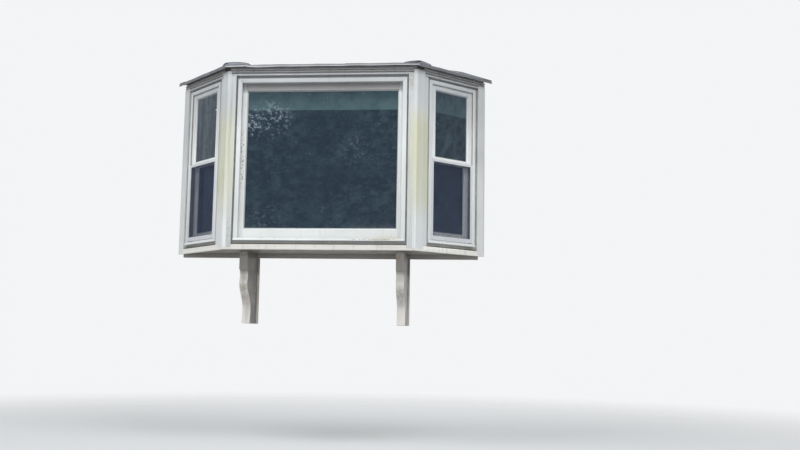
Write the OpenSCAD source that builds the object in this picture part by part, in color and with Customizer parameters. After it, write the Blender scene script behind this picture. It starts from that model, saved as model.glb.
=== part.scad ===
// Bay window with angled sides, hung on a wall on two scrolled brackets.
// X runs along the wall, +Y goes into the wall, Z is up, in millimetres.
// The origin is on the back face of the wall ledger, level with the underside of the bay.
// o, in the helper functions, is the distance inward from the outer face of the trim boards.

/* [Bay] */
// Width of the front, between its two outer corners
front_width = 1430; // [1200:10:1800]
// How far the front stands out from the wall
projection = 490; // [450:5:600]
// Angle by which each side turns back from the front, in degrees
side_angle = 45; // [42:1:50]
// Height of the window units, between seat board and head board
unit_height = 1268; // [1000:4:1500]
// Thickness of the wall that the bay passes through
wall_depth = 116; // [90:2:160]
// Timber left beside a side frame, where it passes the wall's face
jamb_cover = 12; // [6:1:30]

/* [Floor and head] */
// Thickness of the seat board
seat_t = 29; // [18:1:40]
// How far the seat board's edge lies behind the back of the trim boards
seat_back = 10; // [4:1:16]
// Thickness of the head board
head_t = 29; // [18:1:40]
// Thickness of the boarded underside
soffit_t = 9; // [6:1:16]
// Height of the ledger strip on the wall under the bay
ledger_h = 42; // [28:1:60]
// Thickness of the ledger strip
ledger_t = 20; // [15:1:30]

/* [Trim boards] */
// Thickness of the trim boards
trim_t = 20; // [15:1:25]
// Width of the casing beside the wall
casing_w = 72; // [60:1:100]
// Width of the corner board on the side face
corner_board_w = 75; // [60:1:100]
// Width of the corner strip on the front face
corner_strip_w = 65; // [55:1:90]
// Gap between the top of a corner board and the roof boards
corner_gap = 26; // [4:1:34]
// Width of the bead between a corner board and the side window
bead_w = 38; // [20:1:50]
// How far the bead's face lies behind the corner board's face
bead_back = 8; // [3:1:12]
// Height of the skirt boards
skirt_h = 38; // [30:1:60]
// How far the skirt hangs below the underside
skirt_drop = 8; // [2:1:20]
// Height of the drip moulding along the skirt's foot
skirt_foot_h = 15; // [8:1:24]
// How far the drip moulding stands out from the skirt
skirt_foot_out = 4; // [1:1:8]
// Height of the fascia under the eaves
fascia_h = 58; // [45:1:90]
// Height of the head moulding at the fascia's foot
head_trim_h = 15; // [8:1:22]
// Height of the groove between head moulding and fascia
fascia_groove_h = 8; // [4:1:12]
// Depth of that groove
fascia_groove_d = 9; // [3:1:14]

/* [Window units] */
// Depth of a window frame behind its flat outer band
frame_depth = 96; // [95:1:120]
// Width of the flat outer band of a frame
band_w = 23; // [15:1:32]
// Width of the raised lip round the opening
lip_w = 28; // [18:1:36]
// Height of the raised lip's face above the band
lip_out = 14; // [6:1:18]
// Height of the flat face under the sill nose
apron_h = 21; // [12:1:30]
// Height of the sill nose
nose_h = 15; // [8:1:24]
// How far the sill nose stands out from the lip
nose_out = 7; // [3:1:12]
// Height of the sill above its nose
sill_rise = 10; // [6:1:18]
// How much of the front frame's band a corner strip covers
strip_lap = 10; // [4:1:12]
// How much of a side frame's band the bead covers
bead_lap = 9; // [4:1:12]
// Gap at the sides and top of a sash or screen, in the opening that it fits
sash_gap = 0.4; // [0.2:0.1:0.8]

/* [Picture sash] */
// Distance from the lip's face back to the picture sash
picture_back = 34; // [20:1:45]
// Thickness of the picture sash
picture_t = 40; // [30:1:45]
// Width of its stiles
picture_stile = 38; // [25:1:60]
// Height of its top rail
picture_top = 62; // [35:1:90]
// Height of its bottom rail
picture_bottom = 68; // [35:1:90]

/* [Side sashes] */
// Distance from the lip's face back to an upper sash
upper_back = 12; // [11:1:18]
// Thickness of a side sash
sash_t = 32; // [25:1:36]
// Width of a sash's stiles
sash_stile = 46; // [35:1:60]
// Height of an upper sash's top rail
top_rail = 38; // [28:1:60]
// Height of the meeting rails
meeting_rail = 37; // [28:1:50]
// Height of a lower sash's bottom rail
bottom_rail = 65; // [45:1:90]
// Height of the meeting rails' top above the seat board
meeting_z = 672; // [500:4:760]
// Gap between the upper and the lower sash
sash_pass = 3; // [1:0.5:4]
// Thickness of a glass sheet
glass_t = 6; // [4:1:10]

/* [Screens] */
// Distance from the lip's face back to a screen
screen_back = 2; // [1:0.5:3]
// Thickness of a screen frame
screen_t = 8; // [5:0.5:9]
// Width of a screen frame's sides and top
screen_side = 20; // [14:1:28]
// Height of a screen frame's bottom bar
screen_foot = 34; // [20:1:44]
// Thickness of the mesh sheet
mesh_t = 1; // [0.8:0.1:2]
// How far a screen laps up over the upper sash's meeting rail
screen_lap = 16; // [6:1:24]

/* [Roof] */
// Pitch of all three slopes, in degrees
roof_pitch = 12; // [8:0.5:25]
// How far the roof boards stand out from the trim
eave_out = 30; // [20:1:50]
// Thickness of the roof boards at their edge
eave_t = 10; // [8:1:28]
// Height of a sheet's metal, measured upright
sheet_t = 2; // [1.5:0.5:3]
// How far the metal stands out from the roof boards
drip_out = 8; // [4:1:14]
// Height of the turned down edge of the metal
drip_h = 24; // [12:1:30]
// Width of a hip cap
hip_cap_w = 180; // [100:5:240]
// Height of a hip cap's middle above the sheets
hip_cap_rise = 24; // [8:1:40]
// Width of the flashing on the roof beside the wall
flash_w = 60; // [40:2:90]
// Height of the flashing on the wall
flash_h = 40; // [25:1:90]
// Length over which the upstand is cut down to nothing at each end
flash_snip = 240; // [100:10:400]

/* [Brackets] */
// Distance between the middles of the two brackets
bracket_span = 1180; // [900:10:1360]
// Width of a bracket
bracket_w = 62; // [45:1:90]
// Height of a bracket
bracket_h = 544; // [480:2:640]
// Depth of a bracket's top block, from the wall
block_depth = 330; // [300:2:400]
// Height of the top block
block_h = 145; // [110:1:170]
// Height of the neck's hollow under the block
neck_h = 48; // [20:1:60]
// How far the neck is cut back, measured from the bulge
neck_cut = 14; // [6:1:24]
// Height from the neck down to the middle of the bulge
bulge_drop = 45; // [25:1:60]
// Depth of the bulge under the block
bulge_depth = 314; // [250:1:365]
// Height of the hollow above the foot
hollow_h = 110; // [80:1:140]
// Depth of that hollow
hollow_depth = 194; // [150:1:230]
// Depth of the foot
foot_depth = 208; // [160:1:240]
// Width of the plate behind a bracket
plate_w = 92; // [70:1:130]
// Thickness of the plate
plate_t = 19; // [12:1:24]

/* [Hidden] */

// Colours, as the pieces look in daylight
paint_colour = "#d9dde2";
shade_colour = "#c6c8c6";
timber_colour = "#b9a98c";
sash_colour = "#e0e3e8";
glass_colour = [0.12, 0.16, 0.2, 0.6];
mesh_colour = "#5a5f66";
metal_colour = "#a3a6a8";
bracket_colour = "#c2bdb4";

// Levels, from the underside of the bay upwards
seat_z = soffit_t;
unit_z = seat_z + seat_t;
head_z = unit_z + unit_height;
deck_z = head_z + fascia_h;
edge_z = deck_z + eave_t;
skirt_foot_z = -skirt_drop + skirt_foot_h;
skirt_top = skirt_h - skirt_drop;
casing_top = head_z + head_trim_h;

// Plan of the bay
front_half = front_width / 2;
wall_half = front_half + projection / tan(side_angle);
side_length = projection / sin(side_angle);
frame_back = trim_t + frame_depth;
// Half the length of the front face between the edges of the two corner boards
front_board_half = front_half - trim_t / sin(side_angle);

// Depths inward from the trim's face, and heights within a window unit
lip_face = trim_t - lip_out;
nose_z = unit_z + apron_h;
lip_z = nose_z + nose_h;
sill_z = lip_z + sill_rise;
opening_top = head_z - band_w - lip_w;
opening_side = band_w + lip_w;

// Where the side unit starts and ends along its face, counted from the wall
side_unit_start = casing_w;
side_unit_end = side_length - corner_board_w - bead_w + bead_lap;
side_unit_w = side_unit_end - side_unit_start;
front_unit_half = front_half - corner_strip_w + strip_lap;

// Where the side unit's inner back corner stands, and the jamb beside it, which also covers the frame
jamb_in = wall_half - side_unit_start * cos(side_angle) - frame_back * sin(side_angle);
jamb_out = max(jamb_in + head_t, wall_half - side_unit_start / cos(side_angle) + jamb_cover);

// Half width of the bay at its front corners, o inward
function corner_x(o) = front_half - o * tan(side_angle / 2);
// Half width of the bay at the wall, o inward
function wall_x(o) = wall_half - o / sin(side_angle);
// A point of the right side face, s along it from the wall and o inward
function side_point(s, o) = [
    wall_half - s * cos(side_angle) - o * sin(side_angle),
    -s * sin(side_angle) + o * cos(side_angle)
];
// Outline of the bay in plan, o inward
function bay_outline(o) = [
    [-wall_x(o), 0], [-corner_x(o), o - projection],
    [corner_x(o), o - projection], [wall_x(o), 0]
];
// Height of the roof boards' top, o inward
function roof_z(o) = edge_z + (o + eave_out) * tan(roof_pitch);

// Places what is drawn along the left side face: x from the wall, y inward
module on_left() {
    translate([-wall_half, 0, 0]) rotate([0, 0, -side_angle]) children();
}
// The same on the right side face
module on_right() {
    mirror([1, 0, 0]) on_left() children();
}
// Places what is drawn along the front face: x from its middle, y inward
module on_front() {
    translate([0, -projection, 0]) children();
}
// The same as the children, on the right instead of the left
module other_side() {
    mirror([1, 0, 0]) children();
}
// A box from its low corner to its high corner
module block(low, high) {
    translate(low) cube(high - low);
}
// How far a cut starts outside what it cuts
cut_past = 1;
// An upright ring in the x-z plane, with its own border on each side
module ring(x0, x1, z0, z1, y0, y1, side, foot, top) {
    difference() {
        block([x0, y0, z0], [x1, y1, z1]);
        block([x0 + side, y0 - cut_past, z0 + foot], [x1 - side, y1 + cut_past, z1 - top]);
    }
}
// A plan outline, raised between two levels
module slab(outline, z0, z1) {
    translate([0, 0, z0]) linear_extrude(z1 - z0) polygon(outline);
}

// Seat board and head board: the bay's floor and ceiling, through the wall, with their edge o inward
module through_board(o, z0, z1) {
    slab(bay_outline(o), z0, z1);
    block([-jamb_out, 0, z0], [jamb_out, wall_depth, z1]);
}
module seat_board() {
    color(timber_colour) union() through_board(trim_t + seat_back, seat_z, unit_z);
}
module head_board() {
    color(timber_colour) union() through_board(trim_t, head_z, head_z + head_t);
}
// Boarded underside, between the skirts and the ledger
module soffit_panel() {
    color(shade_colour) intersection() {
        slab(bay_outline(trim_t), 0, soffit_t);
        block([-wall_half, -projection, 0], [wall_half, -ledger_t, soffit_t]);
    }
}
// Strip on the wall that carries the underside's back edge
module wall_ledger() {
    ledger_half = wall_x(trim_t) - ledger_t / tan(side_angle);
    color(shade_colour)
        block([-ledger_half, -ledger_t, soffit_t - ledger_h], [ledger_half, 0, soffit_t]);
}
// Post between the side window and the wall, with the jamb that lines the wall opening
module left_side_jamb() {
    start = side_point(side_unit_start, trim_t);
    back = side_point(side_unit_start, frame_back);
    color(paint_colour) mirror([1, 0, 0]) slab([
        [wall_x(trim_t), 0], start, back,
        [jamb_in, wall_depth], [jamb_out, wall_depth], [jamb_out, 0]
    ], unit_z, head_z);
}
module right_side_jamb() {
    other_side() left_side_jamb();
}
// Solid post that joins the front unit and a side unit
module left_corner_post() {
    color(timber_colour) mirror([1, 0, 0]) slab([
        [front_unit_half, trim_t - projection], [corner_x(trim_t), trim_t - projection],
        side_point(side_unit_end, trim_t), side_point(side_unit_end, frame_back),
        [front_unit_half, frame_back - projection]
    ], unit_z, head_z);
}
module right_corner_post() {
    other_side() left_corner_post();
}
// Board on the side face at the corner, with its edge cut flush to the front face
module left_corner_board() {
    color(paint_colour) on_left() slab([
        [side_length - corner_board_w, 0], [side_length, 0],
        [side_length + trim_t / tan(side_angle), trim_t], [side_length - corner_board_w, trim_t]
    ], skirt_foot_z, deck_z - corner_gap);
}
module right_corner_board() {
    other_side() left_corner_board();
}
// Strip on the front face beside the corner board's edge, up to the fascia
module left_corner_strip() {
    color(paint_colour) on_front() slab([
        [-front_board_half, 0], [-front_half + corner_strip_w, 0],
        [-front_half + corner_strip_w, trim_t], [-corner_x(trim_t), trim_t]
    ], skirt_foot_z, head_z);
}
module right_corner_strip() {
    other_side() left_corner_strip();
}
// Bead that covers the joint between a corner board and the side unit
module left_corner_bead() {
    bead_end = side_length - corner_board_w;
    color(paint_colour) on_left()
        block([bead_end - bead_w, bead_back, skirt_top], [bead_end, trim_t, head_z]);
}
module right_corner_bead() {
    other_side() left_corner_bead();
}
// Casing on the side face beside the wall
module left_wall_casing() {
    color(paint_colour) intersection() {
        on_left() block([-trim_t, 0, -skirt_drop], [casing_w, trim_t, casing_top]);
        block([-wall_half - trim_t, -projection, -skirt_drop], [0, 0, casing_top]);
    }
}
module right_wall_casing() {
    other_side() left_wall_casing();
}
// Skirt under the front unit: drip moulding at the foot, board above between the corner strips
module front_skirt() {
    color(paint_colour) on_front() {
        slab([
            [-corner_x(-skirt_foot_out), -skirt_foot_out], [corner_x(-skirt_foot_out), -skirt_foot_out],
            [corner_x(trim_t), trim_t], [-corner_x(trim_t), trim_t]
        ], -skirt_drop, skirt_foot_z);
        block([corner_strip_w - front_half, 0, skirt_foot_z],
              [front_half - corner_strip_w, trim_t, skirt_top]);
    }
}
// Skirt under a side unit
module left_skirt() {
    color(paint_colour) on_left() {
        slab([
            [casing_w, -skirt_foot_out], [side_length + skirt_foot_out * tan(side_angle / 2), -skirt_foot_out],
            [side_length - trim_t * tan(side_angle / 2), trim_t], [casing_w, trim_t]
        ], -skirt_drop, skirt_foot_z);
        block([casing_w, 0, skirt_foot_z], [side_length - corner_board_w, trim_t, skirt_top]);
    }
}
module right_skirt() {
    other_side() left_skirt();
}
// Fascia over the front unit: head moulding, groove and board in one section
module front_fascia() {
    plan = [
        [-front_board_half, 0], [front_board_half, 0],
        [corner_x(trim_t), trim_t], [-corner_x(trim_t), trim_t]
    ];
    color(shade_colour) on_front() difference() {
        slab(plan, head_z, deck_z);
        block([-front_half, -cut_past, casing_top],
              [front_half, fascia_groove_d, casing_top + fascia_groove_h]);
    }
}
// Fascia over a side unit: the moulding ends at the casing, the board above runs to the wall
module left_fascia() {
    board_end = side_length - corner_board_w;
    color(shade_colour) on_left() {
        block([casing_w, 0, head_z], [board_end, trim_t, casing_top]);
        block([casing_w, fascia_groove_d, casing_top], [board_end, trim_t, casing_top + fascia_groove_h]);
        slab([[0, 0], [board_end, 0], [board_end, trim_t], [trim_t / tan(side_angle), trim_t]],
             casing_top + fascia_groove_h, deck_z);
    }
}
module right_fascia() {
    other_side() left_fascia();
}

// Window frame from x0 to x1 along a face: flat band, raised lip, sill and sill nose
module window_frame(x0, x1) {
    difference() {
        union() {
            block([x0, trim_t, unit_z], [x1, frame_back, head_z]);
            block([x0 + band_w, lip_face, lip_z], [x1 - band_w, trim_t, head_z - band_w]);
            block([x0 + band_w, lip_face - nose_out, nose_z], [x1 - band_w, trim_t, lip_z]);
        }
        block([x0 + opening_side, -trim_t, sill_z], [x1 - opening_side, frame_back + trim_t, opening_top]);
    }
}
// Sash from x0 to x1: stiles, bottom rail and top rail round the glass
module sash(x0, x1, z0, z1, y0, t, stile, foot, top) {
    ring(x0 + sash_gap, x1 - sash_gap, z0, z1, y0, y0 + t, stile, foot, top);
}
// Glass sheet that fills a sash's daylight, in the middle of its thickness
module glass_sheet(x0, x1, z0, z1, y0, t, stile, foot, top) {
    y_glass = y0 + (t - glass_t) / 2;
    block([x0 + sash_gap + stile, y_glass, z0 + foot],
          [x1 - sash_gap - stile, y_glass + glass_t, z1 - top]);
}

front_open = front_unit_half - opening_side;
side_open_start = side_unit_start + opening_side;
side_open_end = side_unit_end - opening_side;
sash_top_z = opening_top - sash_gap;
picture_y = lip_face + picture_back;
upper_y = lip_face + upper_back;
lower_y = upper_y + sash_t + sash_pass;
meeting_top = unit_z + meeting_z;
screen_y = lip_face + screen_back;

module picture_frame() {
    color(sash_colour) on_front() window_frame(-front_unit_half, front_unit_half);
}
module picture_sash() {
    color(sash_colour) on_front()
        sash(-front_open, front_open, sill_z, sash_top_z, picture_y, picture_t,
             picture_stile, picture_bottom, picture_top);
}
module picture_glass() {
    color(glass_colour) on_front()
        glass_sheet(-front_open, front_open, sill_z, sash_top_z, picture_y, picture_t,
                    picture_stile, picture_bottom, picture_top);
}
module left_window_frame() {
    color(sash_colour) on_left() window_frame(side_unit_start, side_unit_end);
}
module right_window_frame() {
    other_side() left_window_frame();
}
module left_upper_sash() {
    color(sash_colour) on_left()
        sash(side_open_start, side_open_end, meeting_top - meeting_rail, sash_top_z, upper_y, sash_t,
             sash_stile, meeting_rail, top_rail);
}
module right_upper_sash() {
    other_side() left_upper_sash();
}
module left_upper_glass() {
    color(glass_colour) on_left()
        glass_sheet(side_open_start, side_open_end, meeting_top - meeting_rail, sash_top_z, upper_y,
                    sash_t, sash_stile, meeting_rail, top_rail);
}
module right_upper_glass() {
    other_side() left_upper_glass();
}
module left_lower_sash() {
    color(sash_colour) on_left()
        sash(side_open_start, side_open_end, sill_z, meeting_top, lower_y, sash_t,
             sash_stile, bottom_rail, meeting_rail);
}
module right_lower_sash() {
    other_side() left_lower_sash();
}
module left_lower_glass() {
    color(glass_colour) on_left()
        glass_sheet(side_open_start, side_open_end, sill_z, meeting_top, lower_y, sash_t,
                    sash_stile, bottom_rail, meeting_rail);
}
module right_lower_glass() {
    other_side() left_lower_glass();
}
// Half screen over the lower sash: a thin frame with a mesh sheet
module left_screen() {
    x0 = side_open_start + sash_gap;
    x1 = side_open_end - sash_gap;
    z1 = meeting_top - meeting_rail + screen_lap;
    mesh_y = screen_y + (screen_t - mesh_t) / 2;
    color(mesh_colour) on_left() union() {
        ring(x0, x1, sill_z, z1, screen_y, screen_y + screen_t, screen_side, screen_foot, screen_side);
        block([x0 + screen_side / 2, mesh_y, sill_z + screen_foot / 2],
              [x1 - screen_side / 2, mesh_y + mesh_t, z1 - screen_side / 2]);
    }
}
module right_screen() {
    other_side() left_screen();
}

// Where the two hips meet the wall
ridge_x = corner_x(projection);
// Plan sector of a slope, out to the distance o beyond the trim
function front_sector(o) = [
    [-corner_x(-o), -o - projection], [corner_x(-o), -o - projection], [ridge_x, 0], [-ridge_x, 0]
];
function left_sector(o) = [[-wall_x(-o), 0], [-corner_x(-o), -o - projection], [-ridge_x, 0]];
// Boards and rafters under the metal, closed against the wall
module roof_deck() {
    eave = bay_outline(-eave_out);
    ridge = [[-ridge_x, 0], [ridge_x, 0]];
    top_z = roof_z(projection);
    points = concat(
        [for (p = eave) [p.x, p.y, deck_z]],
        [for (p = eave) [p.x, p.y, edge_z]],
        [for (p = ridge) [p.x, p.y, top_z]]
    );
    color(timber_colour) union() {
        slab(bay_outline(trim_t), head_z + head_t, deck_z);
        polyhedron(points, [
            [0, 1, 2, 3], [1, 0, 4, 5], [2, 1, 5, 6], [3, 2, 6, 7],
            [5, 4, 8], [6, 5, 8, 9], [7, 6, 9], [0, 3, 7, 9, 8, 4]
        ]);
    }
}
// Layer of a slope from the eave up: lift above the boards, thickness t, between o0 and o1,
// drawn with x inward and y up, and raised along the eave
module slope_layer(length, lift, t, o0, o1) {
    rotate([90, 0, 0]) translate([0, 0, -length / 2]) linear_extrude(length) polygon([
        [o0, roof_z(o0) + lift], [o1, roof_z(o1) + lift],
        [o1, roof_z(o1) + lift + t], [o0, roof_z(o0) + lift + t]
    ]);
}
module on_front_slope() {
    on_front() rotate([0, 0, 90]) children();
}
module on_left_slope() {
    on_left() translate([side_length / 2, 0, 0]) rotate([0, 0, 90]) children();
}
edge_out = eave_out + drip_out;
layer_length = 2 * wall_half + 4 * edge_out;
// Metal of one slope with its turned down edge
module slope_metal() {
    drip_top = roof_z(-edge_out) + sheet_t;
    slope_layer(layer_length, 0, sheet_t, -edge_out, projection);
    block([-edge_out, -layer_length / 2, drip_top - drip_h],
          [sheet_t - edge_out, layer_length / 2, roof_z(sheet_t - edge_out) + sheet_t / 2]);
}
module front_roof_sheet() {
    color(metal_colour) intersection() {
        on_front_slope() slope_metal();
        slab(front_sector(edge_out), deck_z - drip_h, deck_z + projection);
    }
}
module left_roof_sheet() {
    color(metal_colour) intersection() {
        on_left_slope() slope_metal();
        slab(left_sector(edge_out), deck_z - drip_h, deck_z + projection);
    }
}
module right_roof_sheet() {
    other_side() left_roof_sheet();
}
// Folded caps over the two hips, raised in the middle, from the eave to the flashing
module hip_cap() {
    eave = [-corner_x(-edge_out), -edge_out - projection];
    run = [-ridge_x, 0] - eave;
    climb = (roof_z(projection) - roof_z(-edge_out)) / norm(run);
    half = hip_cap_w / 2;
    edge = sheet_t - half * sin(side_angle / 2) * tan(roof_pitch);
    color(metal_colour) intersection() {
        union() {
            intersection() {
                on_front_slope() slope_layer(layer_length, sheet_t, hip_cap_rise, -edge_out, projection);
                slab(front_sector(edge_out), deck_z, deck_z + projection);
            }
            intersection() {
                on_left_slope() slope_layer(layer_length, sheet_t, hip_cap_rise, -edge_out, projection);
                slab(left_sector(edge_out), deck_z, deck_z + projection);
            }
        }
        translate([eave.x, eave.y, roof_z(-edge_out) + sheet_t])
            rotate([0, 0, atan2(run.y, run.x)])
            multmatrix([[1, 0, 0, 0], [0, 1, 0, 0], [climb, 0, 1, 0], [0, 0, 0, 1]])
            translate([-hip_cap_w, 0, 0]) rotate([90, 0, 90])
            linear_extrude(norm(run) + 2 * hip_cap_w) polygon([
                [-half, -hip_cap_w], [half, -hip_cap_w], [half, edge], [0, hip_cap_rise], [-half, edge]
            ]);
        block([-wall_half, -projection - 2 * edge_out, deck_z], [0, -flash_w, deck_z + projection]);
    }
}
module hip_caps() {
    hip_cap();
    other_side() hip_cap();
}
// Flashing along the wall: a strip on the slopes and an upstand on the wall
module wall_flashing() {
    wall_end = wall_x(-edge_out);
    low_z = roof_z(-edge_out) + sheet_t;
    top_z = roof_z(projection) + sheet_t;
    snip_x = wall_end - flash_snip;
    snip_z = low_z + flash_snip * (top_z - low_z) / (wall_end - ridge_x) + flash_h;
    color(metal_colour) union() {
        rotate([90, 0, 0]) linear_extrude(sheet_t) polygon([
            [-wall_end, low_z], [-ridge_x, top_z], [ridge_x, top_z], [wall_end, low_z],
            [wall_end, low_z + sheet_t], [snip_x, snip_z], [ridge_x, top_z + flash_h],
            [-ridge_x, top_z + flash_h], [-snip_x, snip_z], [-wall_end, low_z + sheet_t]
        ]);
        intersection() {
            union() {
                intersection() {
                    on_front_slope() slope_layer(layer_length, sheet_t, sheet_t, -edge_out, projection);
                    slab(front_sector(edge_out), deck_z, deck_z + projection);
                }
                for (side = [0, 1]) mirror([side, 0, 0]) intersection() {
                    on_left_slope() slope_layer(layer_length, sheet_t, sheet_t, -edge_out, projection);
                    slab(left_sector(edge_out), deck_z, deck_z + projection);
                }
            }
            block([-wall_end, -flash_w, deck_z], [wall_end, 0, deck_z + projection]);
        }
    }
}

// Profile of a bracket's scroll: depth eased between its turning points
neck_z = -block_h - neck_h;
bulge_z = neck_z - bulge_drop;
hollow_z = hollow_h - bracket_h;
ease_steps = 12;
function eased(a, b, k) = a + (b - a) * (1 - cos(180 * k / ease_steps)) / 2;
function ease_run(d0, z0, d1, z1) = [
    for (k = [0 : ease_steps - 1]) [eased(d0, d1, k), z0 + (z1 - z0) * k / ease_steps]
];
function bracket_profile() = concat(
    [[ledger_t, soffit_t - ledger_h], [ledger_t, 0], [block_depth, 0], [block_depth, -block_h]],
    ease_run(bulge_depth - neck_cut / 2, -block_h, bulge_depth - neck_cut, neck_z),
    ease_run(bulge_depth - neck_cut, neck_z, bulge_depth, bulge_z),
    ease_run(bulge_depth, bulge_z, hollow_depth, hollow_z),
    ease_run(hollow_depth, hollow_z, foot_depth, -bracket_h),
    [[foot_depth, -bracket_h], [plate_t, -bracket_h], [plate_t, soffit_t - ledger_h]]
);
module left_bracket() {
    color(bracket_colour) translate([-bracket_span / 2, 0, 0]) union() {
        translate([bracket_w / 2, 0, 0]) rotate([90, 0, -90])
            linear_extrude(bracket_w) polygon(bracket_profile());
        block([-plate_w / 2, -plate_t, -bracket_h], [plate_w / 2, 0, soffit_t - ledger_h]);
    }
}
module right_bracket() {
    other_side() left_bracket();
}

seat_board();
head_board();
soffit_panel();
wall_ledger();
left_side_jamb();
right_side_jamb();
left_corner_post();
right_corner_post();
left_corner_board();
right_corner_board();
left_corner_strip();
right_corner_strip();
left_corner_bead();
right_corner_bead();
left_wall_casing();
right_wall_casing();
front_skirt();
left_skirt();
right_skirt();
front_fascia();
left_fascia();
right_fascia();
picture_frame();
picture_sash();
picture_glass();
left_window_frame();
right_window_frame();
left_upper_sash();
right_upper_sash();
left_upper_glass();
right_upper_glass();
left_lower_sash();
right_lower_sash();
left_lower_glass();
right_lower_glass();
left_screen();
right_screen();
roof_deck();
front_roof_sheet();
left_roof_sheet();
right_roof_sheet();
hip_caps();
wall_flashing();
left_bracket();
right_bracket();
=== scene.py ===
"""Looks of a painted timber bay window, dressed round its packed construction model.

Everything is in metres in the model's own frame: +X along the wall, +Y into the wall, +Z up, with
the origin on the wall plane, level with the bay's underside. Each of the three faces also has its
own coordinates: s along the face, o inward from the face of the trim boards, and z up.
"""

import logging
import math
import random
from collections.abc import Callable, Sequence
from dataclasses import dataclass, replace
from enum import Enum
from functools import cache, cached_property
from typing import ClassVar

import bmesh
import bpy
from mathutils import Matrix, Vector


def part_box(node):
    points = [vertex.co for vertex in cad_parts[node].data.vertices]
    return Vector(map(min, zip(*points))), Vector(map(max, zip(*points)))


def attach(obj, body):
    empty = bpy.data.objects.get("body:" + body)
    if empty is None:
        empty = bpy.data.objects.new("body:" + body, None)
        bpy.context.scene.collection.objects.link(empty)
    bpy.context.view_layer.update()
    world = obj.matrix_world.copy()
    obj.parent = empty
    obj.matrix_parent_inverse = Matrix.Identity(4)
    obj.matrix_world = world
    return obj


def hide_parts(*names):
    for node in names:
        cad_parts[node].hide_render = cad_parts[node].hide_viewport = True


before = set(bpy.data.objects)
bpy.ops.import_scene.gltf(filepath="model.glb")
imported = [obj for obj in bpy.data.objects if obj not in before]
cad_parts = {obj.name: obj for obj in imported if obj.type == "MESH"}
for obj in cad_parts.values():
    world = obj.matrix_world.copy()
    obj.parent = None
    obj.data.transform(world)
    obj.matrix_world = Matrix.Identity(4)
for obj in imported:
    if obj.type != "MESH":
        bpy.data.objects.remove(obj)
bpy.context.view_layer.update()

log = logging.getLogger("bay_window")
Socket = bpy.types.NodeSocket
Node = bpy.types.Node
Piece = bpy.types.Object
Pair = tuple[float, float]
Triple = tuple[float, float, float]
Colour = tuple[float, float, float, float]

ROOT = "root"
MM = 0.001
# Corners nearer than the gap become one, and edges sharper than the angle in degrees are rounded
WELD_GAP = 0.01 * MM
SOFT_ANGLE = 32.0
SOFT_SEGMENTS = 2
# The two results of a span that falls from 1 to 0
FALLING = (1.0, 0.0)
# The bay's left front corner, in plan
CORNER = min((v.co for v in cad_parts["left_corner_board"].data.vertices),
             key=lambda point: (round(point.y, 4), point.x))


def srgb(red: int, green: int, blue: int) -> Colour:
    """Turn a colour as a screen shows it into the linear colour that a shader takes.

    Args:
        red: red, from 0 to 255.
        green: green, from 0 to 255.
        blue: blue, from 0 to 255.

    Returns:
        The linear colour with an alpha of 1.
    """
    def linear(value: int) -> float:
        """Undo the screen's curve for one channel."""
        share = value / 255
        return share / 12.92 if share <= 0.04045 else ((share + 0.055) / 1.055) ** 2.4

    return linear(red), linear(green), linear(blue), 1.0


def darker(colour: Colour, share: float) -> Colour:
    """Return a share of a colour's light."""
    return tuple(share * part for part in colour[:3]) + (1.0,)


class Grain(Enum):
    """Which way the fibres of a board run, as a stretch of the noise in x, y and z."""

    LEVEL = (1.0, 1.0, 22.0)
    UPRIGHT = (22.0, 22.0, 1.0)


class Side(Enum):
    """The three faces of the bay."""

    LEFT = "left"
    FRONT = "front"
    RIGHT = "right"

    @property
    def hand(self) -> int:
        """The side's sign along X."""
        return -1 if self is Side.LEFT else 1


SIDES = (Side.LEFT, Side.RIGHT)


@dataclass(frozen=True)
class Noise:
    """A noise over the surface: its cells per metre, and the span of its values that counts.

    stretch says how much finer it is along x, y and z, detail and rough set its finer octaves, and
    shift moves it, so that two noises differ.
    """

    scale: float
    limits: Pair = (0.0, 1.0)
    out: Pair = (0.0, 1.0)
    stretch: Triple = (1.0, 1.0, 1.0)
    detail: float = 3.0
    rough: float = 0.55
    shift: Triple = (0.0, 0.0, 0.0)


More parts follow.
